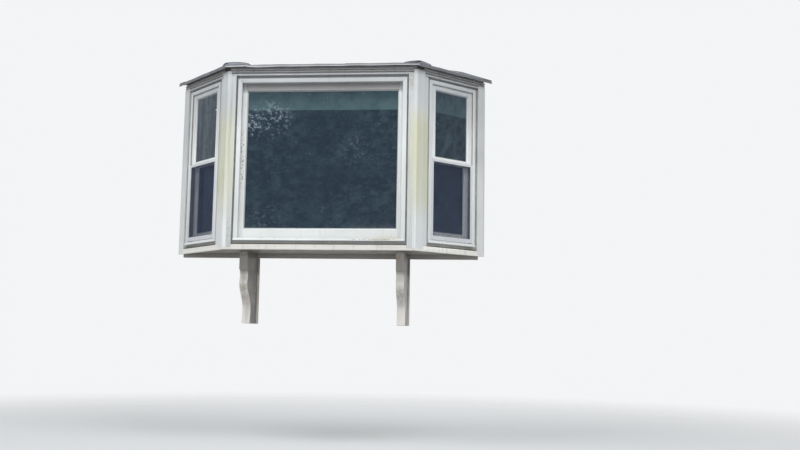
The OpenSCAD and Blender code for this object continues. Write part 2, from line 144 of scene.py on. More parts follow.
class Graph:
    """A short way to write the nodes of one material, or of the world."""

    def __init__(self, home: bpy.types.Material | bpy.types.World) -> None:
        """Start with an empty tree.

        Args:
            home: the material or world that the nodes belong to.
        """
        home.use_nodes = True
        self.home = home
        self.tree = home.node_tree
        self.tree.nodes.clear()

    @cached_property
    def place(self) -> Socket:
        """The shaded point in the model's frame."""
        return self.node("ShaderNodeTexCoord").outputs["Object"]

    @cached_property
    def normal(self) -> Socket:
        """The direction that the surface faces."""
        return self.node("ShaderNodeNewGeometry").outputs["Normal"]

    def node(self, kind: str, settings: dict[str, object] | None = None, **inputs: object) -> Node:
        """Add a node.

        Args:
            kind: the node's type.
            settings: values of the node's own properties.
            inputs: values or sockets for its inputs, with _ for a space in the name.

        Returns:
            The new node.
        """
        new = self.tree.nodes.new(kind)
        for key, value in (settings or {}).items():
            setattr(new, key, value)
        for key, value in inputs.items():
            self.feed(new.inputs[key.replace("_", " ")], value)
        return new

    def feed(self, socket: Socket, value: object) -> None:
        """Link a socket to an input, or set the input's value."""
        if isinstance(value, Socket):
            self.tree.links.new(value, socket)
        else:
            socket.default_value = value

    def fed(self, kind: str, settings: dict[str, object], values: Sequence[object]) -> Node:
        """Add a node and feed its first inputs in order."""
        new = self.node(kind, settings)
        for socket, value in zip(new.inputs, values):
            self.feed(socket, value)
        return new

    def math(self, operation: str, *values: object) -> Socket:
        """Add a math node and return its result."""
        return self.fed("ShaderNodeMath", {"operation": operation}, values).outputs[0]

    def times(self, value: object, *others: object) -> Socket:
        """Multiply a value by each of the others in turn."""
        for other in others:
            value = self.math("MULTIPLY", value, other)
        return value

    def noise(self, noise: Noise, source: Socket | None = None) -> Socket:
        """Return a noise's own value, between 0 and 1.

        Args:
            noise: the noise.
            source: the coordinates that it runs over, or none for the model's frame.

        Returns:
            The noise's value.
        """
        vector = self.node("ShaderNodeMapping", Vector=self.place if source is None else source,
                           Scale=noise.stretch, Location=noise.shift).outputs[0]
        return self.node("ShaderNodeTexNoise", Vector=vector, Scale=noise.scale, Detail=noise.detail,
                         Roughness=noise.rough).outputs[0]

    def cut(self, value: Socket, noise: Noise) -> Socket:
        """Map the span of a noise's value that counts to the noise's two results."""
        return self.span(value, noise.limits, noise.out)

    def patches(self, noise: Noise, source: Socket | None = None) -> Socket:
        """Return a noise, with the span of it that counts mapped to its two results."""
        return self.cut(self.noise(noise, source), noise)

    def span(self, value: Socket, limits: Pair, out: Pair = (0.0, 1.0)) -> Socket:
        """Map a value's span to another, smoothly and held at the ends.

        Args:
            value: the socket to map.
            limits: the values that give the first and the second result.
            out: the two results.

        Returns:
            The mapped value.
        """
        new = self.node("ShaderNodeMapRange", {"interpolation_type": "SMOOTHSTEP"}, Value=value,
                        From_Min=limits[0], From_Max=limits[1], To_Min=out[0], To_Max=out[1])
        return new.outputs[0]

    def blend(self, share: object, first: object, second: object) -> Socket:
        """Mix two colours: none of the second at share 0, all of it at share 1."""
        new = self.node("ShaderNodeMix", {"data_type": "RGBA"})
        self.feed(new.inputs[0], share)
        self.feed(new.inputs[6], first)
        self.feed(new.inputs[7], second)
        return new.outputs[2]

    def coats(self, colour: object, *coats: tuple[object, object]) -> object:
        """Lay colours over a colour in turn, each by its share."""
        for share, over in coats:
            colour = self.blend(share, colour, over)
        return colour

    def join(self, share: Socket, first: Socket, second: Socket) -> Socket:
        """Mix two shaders: none of the second at share 0, all of it at share 1."""
        return self.fed("ShaderNodeMixShader", {}, (share, first, second)).outputs[0]

    def axis(self, vector: Socket, name: str) -> Socket:
        """Return one part, X, Y or Z, of a vector."""
        return self.node("ShaderNodeSeparateXYZ", Vector=vector).outputs[name]

    def vector(self, operation: str, result: str, *values: object) -> Socket:
        """Add a vector math node and return the result of that name."""
        return self.fed("ShaderNodeVectorMath", {"operation": operation}, values).outputs[result]

    def away(self, x: float, z: float, wide: float = 1.0, tall: float = 1.0) -> Socket:
        """Return the square of the distance from a place of the front.

        Args:
            x: the place along the wall.
            z: the place's level.
            wide: what counts as 1 along the wall.
            tall: what counts as 1 upward.

        Returns:
            The squared distance.
        """
        parts = []
        for name, centre, reach in (("X", x, wide), ("Z", z, tall)):
            part = self.math("SUBTRACT", self.axis(self.place, name), centre)
            part = self.math("DIVIDE", part, reach)
            parts.append(self.times(part, part))
        return self.math("ADD", *parts)

    def openness(self, reach: float) -> Socket:
        """Return 1 on an open face and less in a corner that is narrower than the reach."""
        return self.node("ShaderNodeAmbientOcclusion", {"samples": 6}, Distance=reach).outputs["AO"]

    def weighed(self, first: Socket, second: Socket, weights: Pair) -> Socket:
        """Return the sum of two values, each times its weight."""
        return self.math("ADD", self.times(first, weights[0]), self.times(second, weights[1]))

    def bump(self, height: Socket, depth: float, strength: float) -> Socket:
        """Turn a height into a normal.

        Args:
            height: the height, between 0 and 1.
            depth: what a height of 1 stands for, in metres.
            strength: how much of the bump shows.

        Returns:
            The bumped normal.
        """
        return self.node("ShaderNodeBump", Height=height, Distance=depth, Strength=strength).outputs[0]

    def finish(self, **inputs: object) -> bpy.types.Material:
        """Close the material with a principled shader and return it."""
        shader = self.node("ShaderNodeBsdfPrincipled", **inputs)
        self.node("ShaderNodeOutputMaterial", Surface=shader.outputs[0])
        return self.home


@dataclass(frozen=True)
class Finish:
    """A named finish, whose nodes are written once."""

    name: str

    def graph(self) -> Graph:
        """Start the finish's material."""
        return Graph(bpy.data.materials.new(self.name))

    def material(self) -> bpy.types.Material:
        """Write the finish's nodes and return its material."""
        raise NotImplementedError


@dataclass(frozen=True)
class Algae:
    """A yellow-green bloom on the weather side of some boards, between two heights."""

    rising: Pair = (0.14, 0.46)
    fading: Pair = (0.86, 1.14)
    colour: Colour = srgb(200, 200, 171)
    share: float = 0.9
    RUNS: ClassVar[Noise] = Noise(34, (0.3, 0.6), (0.62, 1.0), (1, 1, 0.04), 4)
    PATCHES: ClassVar[Noise] = Noise(5, (0.3, 0.6), (0.75, 1.0), (1, 1, 0.5))

    def over(self, graph: Graph, colour: Socket) -> Socket:
        """Lay the bloom over a colour and return the result."""
        height = graph.axis(graph.place, "Z")
        cover = graph.times(graph.span(height, self.rising), graph.span(height, self.fading, FALLING),
                            graph.times(graph.patches(self.RUNS), graph.patches(self.PATCHES)), self.share)
        return graph.blend(cover, colour, self.colour)


@dataclass(frozen=True)
class Stain:
    """A soft-edged mark at one place of a front face, broken up by fine noise."""

    x: float
    z: float
    wide: float
    tall: float
    colour: Colour
    share: float = 0.6
    fine: float = 60.0
    thin: Pair = (0.3, 0.6)
    RIM: ClassVar[Pair] = (0.2, 1.0)

    def over(self, graph: Graph, colour: Socket) -> Socket:
        """Lay the mark over a colour and return the result."""
        far = graph.away(self.x, self.z, self.wide, self.tall)
        cover = graph.times(graph.span(far, self.RIM, FALLING),
                            graph.patches(Noise(self.fine, self.thin, detail=4)), self.share)
        return graph.blend(cover, colour, self.colour)


@dataclass(frozen=True)
class Paint(Finish):
    """Old paint on timber: brushed, mottled, grimy and darkened by painted shade in its corners, and worn
    at its edges.

    As painted shade, its colour turns to painted_shade between the two levels of shade_band, by the
    share shade_band_share, and on faces that look sideways, by the share side_shade_share. BUMP is the
    relief's depth and its strength.
    """

    colour: Colour
    grain: Grain = Grain.UPRIGHT
    # Colour of runs, and of corners, where dirt and painted shade go together
    grime_and_shade: Colour = srgb(120, 116, 104)
    corner_shade_reach: float = 22 * MM
    dirt_and_shade_share: float = 0.75
    runs: float = 0.22
    specks: float = 0.5
    wear: float = 0.5
    bare: Colour = srgb(134, 126, 114)
    gloss: Pair = (0.42, 0.62)
    # Painted shade between two levels: its share, the two levels and its colour
    shade_band_share: float = 0.16
    shade_band: Pair = (0.7, 1.32)
    painted_shade: Colour = srgb(96, 102, 116)
    # Painted shade on faces that look sideways, as a share
    side_shade_share: float = 0.0
    algae: Algae | None = None
    stains: tuple[Stain, ...] = ()
    SPECK: ClassVar[Colour] = srgb(74, 72, 64)
    FADING: ClassVar[Noise] = Noise(2.4, (0.36, 0.66), detail=4)
    DRIPS: ClassVar[Noise] = Noise(38, (0.52, 0.74), stretch=(1, 1, 0.035), shift=(3, 1, 0))
    SPECKS: ClassVar[Noise] = Noise(330, (0.71, 0.78), detail=1)
    SPECKED: ClassVar[Noise] = Noise(7, (0.46, 0.62), shift=(0, 5, 2))
    DIRT: ClassVar[Noise] = Noise(17, (0.3, 0.7), (0.25, 1.0), detail=4, shift=(1, 2, 3))
    RAGGED: ClassVar[Noise] = Noise(46, (0.56, 0.6), detail=5, rough=0.7)
    CHIPS: ClassVar[Noise] = Noise(60, (0.7, 0.715), detail=5, rough=0.62)
    CHIPPED: ClassVar[Noise] = Noise(4, (0.5, 0.6), shift=(7, 1, 4))
    SHEEN: ClassVar[Noise] = Noise(14, (0.3, 0.7), detail=4)
    BRUSH: ClassVar[Noise] = Noise(42, rough=0.6)
    WAVES: ClassVar[Noise] = Noise(11, detail=2, rough=0.5)
    SIDEWAYS: ClassVar[Pair] = (0.7, 0.95)
    OPEN: ClassVar[Pair] = (0.35, 0.93)
    LEDGE: ClassVar[Pair] = (0.6, 0.95)
    EDGE: ClassVar[Pair] = (0.86, 0.99)
    EDGE_REACH: ClassVar[float] = 2.5 * MM
    FADED_SHARE: ClassVar[float] = 0.9
    LEDGE_DIRT: ClassVar[float] = 0.35
    BARE_ROUGH: ClassVar[float] = 0.85
    BRUSH_WAVES: ClassVar[Pair] = (0.45, 0.35)
    LOST: ClassVar[float] = 0.6
    BUMP: ClassVar[Pair] = (0.5 * MM, 0.8)

    def material(self) -> bpy.types.Material:
        """Write the paint's nodes and return its material."""
        graph = self.graph()
        # Painted shade between two levels
        shade_band = graph.times(graph.span(graph.axis(graph.place, "Z"), self.shade_band), self.shade_band_share)
        colour = graph.coats(self.colour,
                             (graph.patches(self.FADING), darker(self.colour, self.FADED_SHARE)),
                             (shade_band, self.painted_shade))
        # Painted shade on faces that look sideways
        if self.side_shade_share:
            turned = graph.math("ABSOLUTE", graph.axis(graph.normal, "X"))
            colour = graph.blend(graph.span(turned, self.SIDEWAYS, (0.0, self.side_shade_share)), colour, self.painted_shade)
        for mark in (self.algae, *self.stains):
            if mark:
                colour = mark.over(graph, colour)
        runs = graph.times(graph.patches(self.DRIPS), self.runs)
        specks = graph.times(graph.patches(self.SPECKS), graph.patches(self.SPECKED), self.specks)
        worn = self._worn(graph)
        colour = graph.coats(colour, (runs, self.grime_and_shade), (self._dirt_and_corner_shade(graph), self.grime_and_shade),
                             (specks, self.SPECK), (worn, self.bare))
        rough = graph.math("MAXIMUM", graph.patches(replace(self.SHEEN, out=self.gloss)),
                           graph.times(worn, self.BARE_ROUGH))
        return graph.finish(Base_Color=colour, Roughness=rough, Normal=self._relief(graph, worn))

    def _dirt_and_corner_shade(self, graph: Graph) -> Socket:
        """Return where the paint darkens: in corners, dirty and with painted shade, and on ledges that face
        up.
        """
        # Painted shade where ambient occlusion finds a corner, with dirt patches over it
        corner = graph.span(graph.openness(self.corner_shade_reach), self.OPEN, FALLING)
        patchy = graph.patches(self.DIRT)
        ledge = graph.span(graph.axis(graph.normal, "Z"), self.LEDGE, (0.0, self.LEDGE_DIRT))
        dirt_and_shade = graph.math("MAXIMUM", graph.times(corner, patchy), graph.times(ledge, patchy))
        return graph.times(dirt_and_shade, self.dirt_and_shade_share)

    def _worn(self, graph: Graph) -> Socket:
        """Return where the paint is gone: along sharp edges and in a few chips."""
        soft = graph.node("ShaderNodeBevel", {"samples": 3}, Radius=self.EDGE_REACH).outputs[0]
        flat = graph.vector("DOT_PRODUCT", "Value", soft, graph.normal)
        edge = graph.times(graph.span(flat, self.EDGE, FALLING), graph.patches(self.RAGGED))
        chips = graph.times(graph.patches(self.CHIPS), graph.patches(self.CHIPPED))
        return graph.times(graph.math("MAXIMUM", edge, chips), self.wear)

    def _relief(self, graph: Graph, worn: Socket) -> Socket:
        """Return the bumped normal of brush marks, raised grain and lost paint."""
        brush, waves = (graph.noise(replace(noise, stretch=self.grain.value))
                        for noise in (self.BRUSH, self.WAVES))
        skin = graph.weighed(brush, waves, self.BRUSH_WAVES)
        return graph.bump(graph.math("SUBTRACT", skin, graph.times(worn, self.LOST)), *self.BUMP)


@dataclass(frozen=True)
class Timber(Finish):
    """Bare or varnished timber with its rings."""

    light: Colour
    dark: Colour
    grain: Grain = Grain.LEVEL
    gloss: Pair = (0.5, 0.8)
    RINGS: ClassVar[Noise] = Noise(9, (0.36, 0.64), detail=4, rough=0.6)
    FIBRES: ClassVar[Noise] = Noise(60, (0.55, 0.75), (0.0, 0.4), rough=0.6)
    SHEEN: ClassVar[Pair] = (0.3, 0.7)
    # The colour that the timber darkens to in its corners
    DUST: ClassVar[Colour] = srgb(70, 60, 50)
    CORNER_DARK_REACH: ClassVar[float] = 30 * MM
    OPEN: ClassVar[Pair] = (0.3, 0.95)
    CORNER_DARK_SHARES: ClassVar[Pair] = (0.5, 0.0)
    RINGS_FIBRES: ClassVar[Pair] = (0.4, 0.6)
    BUMP: ClassVar[Pair] = (0.4 * MM, 0.7)

    def material(self) -> bpy.types.Material:
        """Write the timber's nodes and return its material."""
        graph = self.graph()
        rings, fibres = (graph.noise(replace(noise, stretch=self.grain.value))
                         for noise in (self.RINGS, self.FIBRES))
        # Darker in corners narrower than the reach
        corner_dark = graph.span(graph.openness(self.CORNER_DARK_REACH), self.OPEN, self.CORNER_DARK_SHARES)
        colour = graph.coats(self.light, (graph.cut(rings, self.RINGS), self.dark),
                             (graph.cut(fibres, self.FIBRES), self.dark), (corner_dark, self.DUST))
        height = graph.weighed(rings, fibres, self.RINGS_FIBRES)
        return graph.finish(Base_Color=colour, Normal=graph.bump(height, *self.BUMP),
                            Roughness=graph.span(fibres, self.SHEEN, self.gloss))


@dataclass(frozen=True)
class Metal(Finish):
    """Dull sheet metal with oxide clouds and water marks.

    Where it stands upright it is darker, a painted reflection of the dark eaves, which is darkest just
    over the level hem_top; it is bright below that level and above the level crest, as painted highlights.
    """

    name: str = "roof_metal"
    colour: Colour = srgb(160, 164, 170)
    cloud: Colour = srgb(128, 132, 138)
    # Upright faces: a painted reflection of the dark eaves, with painted highlights along the hem and the
    # crest
    edge: Colour = srgb(92, 97, 105)
    eave_reflection: Colour = srgb(116, 114, 114)
    hem: Colour = srgb(147, 151, 157)
    hem_top: float | None = None
    crest: float | None = None
    metallic: float = 0.15
    gloss: Pair = (0.42, 0.68)
    CLOUDS: ClassVar[Noise] = Noise(6, (0.38, 0.64), detail=5, rough=0.65)
    MARKS: ClassVar[Noise] = Noise(55, (0.58, 0.72), (0.0, 0.45), (1, 1, 0.4), 4)
    MARK: ClassVar[Colour] = srgb(98, 96, 92)
    MOTTLE: ClassVar[Noise] = Noise(18, (0.35, 0.65), (0.0, 0.5), detail=4, shift=(2, 2, 0))
    DENTS: ClassVar[Noise] = Noise(9, detail=2)
    FINE: ClassVar[Noise] = Noise(240, detail=2)
    STEEP: ClassVar[Pair] = (0.45, 0.8)
    SHEEN: ClassVar[Pair] = (0.35, 0.65)
    DENTS_FINE: ClassVar[Pair] = (0.9, 0.06)
    BUMP: ClassVar[Pair] = (3 * MM, 0.6)
    EAVE_REFLECTION_EDGE: ClassVar[Pair] = (7 * MM, 9 * MM)
    EAVE_REFLECTION_SHARES: ClassVar[Pair] = (0.9, 0.0)
    HEM_EDGE: ClassVar[Pair] = (-1 * MM, 1 * MM)
    CREST_SHARES: ClassVar[Pair] = (0.0, 0.7)

    def material(self) -> bpy.types.Material:
        """Write the metal's nodes and return its material."""
        graph = self.graph()
        clouds = graph.noise(self.CLOUDS)
        upward = graph.math("ABSOLUTE", graph.axis(graph.normal, "Z"))
        # Upright faces take the painted reflection of the dark eaves
        colour = graph.coats(self.colour, (graph.cut(clouds, self.CLOUDS), self.cloud),
                             (graph.span(upward, self.STEEP, FALLING), self._edge(graph)),
                             (graph.patches(self.MARKS), self.MARK))
        height = graph.weighed(graph.noise(self.DENTS), graph.noise(self.FINE), self.DENTS_FINE)
        return graph.finish(Base_Color=colour, Metallic=self.metallic,
                            Roughness=graph.span(clouds, self.SHEEN, self.gloss),
                            Normal=graph.bump(height, *self.BUMP))

    def _edge(self, graph: Graph) -> Socket:
        """Return the colour of upright metal: a painted reflection of the dark eaves, darkest just over the
        hem, with painted highlights along the hem and the crest.
        """
        height = graph.axis(graph.place, "Z")
        colour = graph.blend(graph.patches(self.MOTTLE), self.edge, self.eave_reflection)
        for level, (low, high), out, over in ((self.hem_top, self.EAVE_REFLECTION_EDGE, self.EAVE_REFLECTION_SHARES, self.eave_reflection),
                                              (self.hem_top, self.HEM_EDGE, FALLING, self.hem),
                                              (self.crest, self.HEM_EDGE, self.CREST_SHARES, self.hem)):
            if level:
                band = graph.span(height, (level + low, level + high), out)
                colour = graph.blend(band, colour, over)
        return colour


@dataclass(frozen=True)
class Glass(Finish):
    """A dark pane, painted with the shade of the room behind and with reflections: soft leafy mottling of
    mirrored foliage, sky glints and a pale strip along its top.

    A glint is a place on the front, its reach and its share. streaks is the share of the pale reflection
    in leaning streaks, and pale_band_from is the level where the strip starts, or none.
    """

    # Painted shade of the room behind, and painted reflections of foliage, of a pale band and of sky
    deep: Colour = srgb(17, 38, 53)
    leaf: Colour = srgb(53, 71, 83)
    pale_reflection: Colour = srgb(78, 104, 108)
    sky: Colour = srgb(150, 164, 176)
    pale_band_from: float | None = 1.045
    pale_band_high: float = 1.19
    glints: tuple[tuple[float, float, float, float], ...] = ()
    streaks: float = 0.0
    lean: float = 0.0
    alpha: float = 0.985
    CLUMPS: ClassVar[Noise] = Noise(3.2, (0.3, 0.66), (0.3, 0.72), (1, 1, 1.2), 5, 0.62, (2, 0, 1))
    LEAVES: ClassVar[Noise] = Noise(15, (0.34, 0.72), stretch=(1, 1, 1.3), detail=6, rough=0.68)
    STREAKS: ClassVar[Noise] = Noise(24, (0.42, 0.68), stretch=(1, 1, 0.09), detail=5, rough=0.5)
    STREAKED: ClassVar[Noise] = Noise(4.5, (0.35, 0.6), (0.25, 1.0), shift=(5, 0, 2))
    CLOUDED: ClassVar[Noise] = Noise(9, (0.25, 0.7), (0.55, 1.0), detail=5)
    SMEARS: ClassVar[Noise] = Noise(8, (0.4, 0.7), (0.02, 0.12), (1, 1, 0.3), 5, 0.7)
    RIPPLE: ClassVar[Noise] = Noise(1.5, detail=1)
    BITS: ClassVar[Noise] = Noise(38, (0.51, 0.66), stretch=(1, 1, 1.2), detail=4, rough=0.66,
                                  shift=(1, 7, 3))
    FAINT: ClassVar[Noise] = Noise(44, (0.63, 0.76), detail=2, shift=(4, 4, 1))
    FAINTER: ClassVar[Noise] = Noise(5, (0.42, 0.62), (0.04, 0.26), detail=2, shift=(0, 3, 8))
    DUST: ClassVar[Noise] = Noise(170, (0.68, 0.76), (0.0, 0.08), detail=2)
    PALE_BAND_EDGE: ClassVar[Pair] = (-3 * MM, 5 * MM)
    PALE_BAND_SHARES: ClassVar[Pair] = (0.75, 0.3)
    CORE: ClassVar[float] = 0.15
    SPECULAR: ClassVar[float] = 0.28
    BUMP: ClassVar[Pair] = (2 * MM, 0.25)

    def material(self) -> bpy.types.Material:
        """Write the pane's nodes and return its material."""
        graph = self.graph()
        # Painted reflection of foliage over the dark of the room behind
        leaf = graph.times(graph.patches(self.LEAVES), graph.patches(self.CLUMPS))
        colour = graph.blend(leaf, self.deep, self.leaf)
        if self.streaks:
            leaning = graph.node("ShaderNodeVectorRotate", {"rotation_type": "Y_AXIS"}, Vector=graph.place,
                                 Angle=self.lean).outputs[0]
            runs = graph.patches(replace(self.STREAKS, out=(0.0, self.streaks)), leaning)
            colour = graph.blend(graph.times(runs, graph.patches(self.STREAKED)), colour, self.pale_reflection)
        # Painted reflection: a pale band along the top
        if self.pale_band_from:
            height = graph.axis(graph.place, "Z")
            edge = graph.span(height, tuple(self.pale_band_from + step for step in self.PALE_BAND_EDGE))
            fall = graph.span(height, (self.pale_band_from, self.pale_band_high), self.PALE_BAND_SHARES)
            colour = graph.blend(graph.times(edge, fall, graph.patches(self.CLOUDED)), colour, self.pale_reflection)
        return graph.finish(Base_Color=graph.blend(self._glints(graph), colour, self.sky), Alpha=self.alpha,
                            Specular_IOR_Level=self.SPECULAR, Roughness=graph.patches(self.SMEARS),
                            Normal=graph.bump(graph.noise(self.RIPPLE), *self.BUMP))

    def _glints(self, graph: Graph) -> Socket:
        """Return where bits of sky show between mirrored leaves, and where dust lies."""
        bits = graph.patches(self.BITS)
        total = graph.times(graph.patches(self.FAINT), graph.patches(self.FAINTER))
        for x, z, reach, share in self.glints:
            far = graph.math("SQRT", graph.away(x, z))
            near = graph.span(far, (self.CORE * reach, reach), (share, 0.0))
            total = graph.math("MAXIMUM", total, graph.times(near, bits))
        return graph.math("MAXIMUM", total, graph.patches(self.DUST))


@dataclass(frozen=True)
class Plain(Finish):
    """A small fitting's finish: one colour with fine specks and smudges."""

    colour: Colour
    metallic: float = 0.0
    gloss: Pair = (0.3, 0.5)
    MOTTLE: ClassVar[Noise] = Noise(120, (0.45, 0.7), (0.0, 0.3), detail=4)
    SMUDGED: ClassVar[float] = 0.7
    SHEEN: ClassVar[Pair] = (0.3, 0.7)
    BUMP: ClassVar[Pair] = (0.15 * MM, 0.6)

    def material(self) -> bpy.types.Material:
        """Write the finish's nodes and return its material."""
        graph = self.graph()
        mottle = graph.noise(self.MOTTLE)
        colour = graph.blend(graph.cut(mottle, self.MOTTLE), self.colour, darker(self.colour, self.SMUDGED))
        return graph.finish(Base_Color=colour, Metallic=self.metallic,
                            Roughness=graph.span(mottle, self.SHEEN, self.gloss),
                            Normal=graph.bump(mottle, *self.BUMP))


@dataclass(frozen=True)
class Ground(Finish):
    """A pale floor that fades out between two distances and is clear from below."""

    colour: Colour
    fade: Pair = (2.2, 8.0)
    rough: float = 0.8

    def material(self) -> bpy.types.Material:
        """Write the floor's nodes and return its material."""
        graph = self.graph()
        far = graph.vector("LENGTH", "Value", graph.place)
        below = graph.node("ShaderNodeNewGeometry").outputs["Backfacing"]
        clear = graph.math("MAXIMUM", graph.span(far, self.fade), below)
        solid = graph.node("ShaderNodeBsdfPrincipled", Base_Color=self.colour, Roughness=self.rough)
        hole = graph.node("ShaderNodeBsdfTransparent")
        surface = graph.join(clear, solid.outputs[0], hole.outputs[0])
        graph.node("ShaderNodeOutputMaterial", Surface=surface)
        return graph.home


@cache
def material_of(finish: Finish) -> bpy.types.Material:
    """Return a finish's material, which is written the first time."""
    return finish.material()


@dataclass(frozen=True)
class Extent:
    """A box in the coordinates of one face."""

    s0: float
    s1: float
    o0: float
    o1: float
    z0: float
    z1: float


@dataclass(frozen=True)
class Face:
    """One face of the bay, with its own coordinates along it, inward and up."""

    side: Side
    origin: Vector
    along: Vector
    inward: Vector

    def at(self, s: float, o: float, z: float) -> Vector:
        """Return the row frame's point for a point of this face."""
        return self.origin + s * self.along + o * self.inward + Vector((0, 0, z))

    def extent(self, node: str) -> Extent:
        """Measure a node of the model in this face's coordinates.

        Args:
            node: the node's name.

        Returns:
            Its box, along this face, inward and up.
        """
        points = [v.co - self.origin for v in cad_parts[node].data.vertices]
        s = [p.dot(self.along) for p in points]
        o = [p.dot(self.inward) for p in points]
        z = [p.z for p in points]
        return Extent(min(s), max(s), min(o), max(o), min(z), max(z))

    def named(self, node: str) -> str:
        """Put this face's side before a node's name."""
        return f"{self.side.value}_{node}"


@dataclass(frozen=True)
class Bay:
    """The bay's plan and levels, measured on the model."""

    front_half: float = -CORNER.x
    projection: float = -CORNER.y
    wall_half: float = -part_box("left_wall_casing")[0].x
    deck_z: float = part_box("front_fascia")[1].z
    head_z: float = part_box("head_board")[0].z

    @property
    def turn(self) -> float:
        """The angle by which a side turns back from the front, in radians."""
        return math.atan2(self.projection, self.wall_half - self.front_half)

    @property
    def side_length(self) -> float:
        """The length of a side face, from the wall to the corner."""
        return self.projection / math.sin(self.turn)

    @property
    def splay(self) -> float:
        """How far a side steps along the wall for each metre away from it."""
        return 1 / math.tan(self.turn)

    def face(self, side: Side) -> Face:
        """Return one face: s runs from the wall on a side, and from the middle on the front."""
        if side is Side.FRONT:
            return Face(side, Vector((0, -self.projection, 0)), Vector((1, 0, 0)), Vector((0, 1, 0)))
        cos, sin = math.cos(self.turn), math.sin(self.turn)
        return Face(side, Vector((side.hand * self.wall_half, 0, 0)), Vector((-side.hand * cos, -sin, 0)),
                    Vector((-side.hand * sin, cos, 0)))

    def mitre(self, o: float) -> float:
        """Return how far a mitred corner steps back along a face at the depth o."""
        return o * math.tan(self.turn / 2)


def round_edges(thing: Piece, width: float) -> None:
    """Round an object's sharp edges as paint and wear do.

    Args:
        thing: the object.
        width: the rounding's width.
    """
    weld = thing.modifiers.new("weld", "WELD")
    weld.merge_threshold = WELD_GAP
    bevel = thing.modifiers.new("soften", "BEVEL")
    bevel.width = width
    bevel.segments = SOFT_SEGMENTS
    bevel.limit_method = "ANGLE"
    bevel.angle_limit = math.radians(SOFT_ANGLE)
    bevel.use_clamp_overlap = True


class Shape:
    """A mesh in the making, in the coordinates of one face.

    DOME lists a dome's rings, as shares of its radius and of its height.
    """

    DOME: ClassVar[tuple[Pair, ...]] = ((1.0, 0.0), (0.72, 0.62), (0.3, 0.95))

    def __init__(self, face: Face | None = None) -> None:
        """Start an empty mesh.

        Args:
            face: the face whose coordinates are used, or none for the row frame.
        """
        self.face = face
        self.mesh = bmesh.new()

    def point(self, s: float, o: float, z: float) -> bmesh.types.BMVert:
        """Add a point."""
        place = self.face.at(s, o, z) if self.face else Vector((s, o, z))
        return self.mesh.verts.new(place)

    def skin(self, rings: Sequence[Sequence[Triple]], closed: bool = False) -> None:
        """Join rings of points, each a closed loop, into a skin.

        Args:
            rings: the loops, all with as many points.
            closed: whether the last loop joins the first, instead of both being filled.
        """
        loops = [[self.point(*p) for p in ring] for ring in rings]
        steps = list(zip(loops, loops[1:])) + ([(loops[-1], loops[0])] if closed else [])
        for low, high in steps:
            for i in range(len(low)):
                j = (i + 1) % len(low)
                self.mesh.faces.new((low[i], low[j], high[j], high[i]))
        if not closed:
            self.mesh.faces.new(loops[0])
            self.mesh.faces.new(loops[-1])

    def box(self, e: Extent) -> None:
        """Add a box."""
        self.skin([[(s, e.o0, e.z0), (s, e.o1, e.z0), (s, e.o1, e.z1), (s, e.o0, e.z1)]
                   for s in (e.s0, e.s1)])

    def length(self, section: Sequence[Pair], start: float, end: float,
               start_mitre: float = 0.0, end_mitre: float = 0.0) -> None:
        """Run a section of (o, z) points along the face.

        Args:
            section: the outline across the length.
            start: where it starts, at o = 0.
            end: where it ends, at o = 0.
            start_mitre: how far the start moves along for each metre inward.
            end_mitre: the same for the end.
        """
        self.skin([[(place + mitre * o, o, z) for o, z in section]
                   for place, mitre in ((start, start_mitre), (end, end_mitre))])

    def upright(self, plan: Sequence[Pair], z0: float, z1: float) -> None:
        """Raise a plan of (s, o) points between two levels."""
        self.skin([[(s, o, z) for s, o in plan] for z in (z0, z1)])

    def border(self, e: Extent, section: Sequence[Pair]) -> None:
        """Run a section round a rectangle, with mitred corners.

        Args:
            e: the rectangle, whose depths aren't used.
            section: (inset, o) points, with the inset counted towards the middle.
        """
        corners = ((e.s0, e.z0, 1, 1), (e.s1, e.z0, -1, 1), (e.s1, e.z1, -1, -1), (e.s0, e.z1, 1, -1))
        self.skin([[(s + hs * inset, o, z + hz * inset) for inset, o in section]
                   for s, z, hs, hz in corners], closed=True)

    def dome(self, centre: Triple, radius: float, height: float, sides: int = 10) -> None:
        """Add a low dome that faces outward, such as a nail's head under paint."""
        s, o, z = centre
        turns = [math.tau * k / sides for k in range(sides)]
        self.skin([[(s + radius * share * math.cos(a), o - height * rise, z + radius * share * math.sin(a))
                    for a in turns] for share, rise in self.DOME])

    def piece(self, name: str, finish: Finish, slot: str, soften: float = 0.0,
              smooth: float = 35.0) -> Piece:
        """Make the object, which rides on the bay.

        Args:
            name: the piece's name.
            finish: its finish.
            slot: the record's material slot, which is not used.
            soften: width of the rounding at its edges.
            smooth: angle in degrees above which an edge stays sharp.

        Returns:
            The new object.
        """
        if len(self.mesh.faces) > 1:
            bmesh.ops.recalc_face_normals(self.mesh, faces=self.mesh.faces)
        data = bpy.data.meshes.new(name)
        self.mesh.to_mesh(data)
        self.mesh.free()
        for polygon in data.polygons:
            polygon.use_smooth = True
        data.set_sharp_from_angle(angle=math.radians(smooth))
        data.materials.append(material_of(finish))
        new = bpy.data.objects.new(name, data)
        bpy.context.scene.collection.objects.link(new)
        if soften:
            round_edges(new, soften)
        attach(new, ROOT)
        log.info("piece %s: %d faces", name, len(data.polygons))
        return new


def dress(node: str, finish: Finish, soften: float) -> None:
    """Give a node of the model its finish and soft edges.

    Args:
        node: the node's name.
        finish: its finish.
        soften: width of the rounding at its edges, or 0 for none.
    """
    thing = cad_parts[node]
    for slot in thing.material_slots:
        slot.material = material_of(finish)
    if soften:
        round_edges(thing, soften)
    log.info("node %s: %s", node, finish.name)


BROWN = srgb(120, 98, 70)
# The white paints below darken towards the top: painted shade under the eaves
WHITE = Paint("white_paint", srgb(222, 225, 225), shade_band_share=0.28, shade_band=(0.2, 1.1))
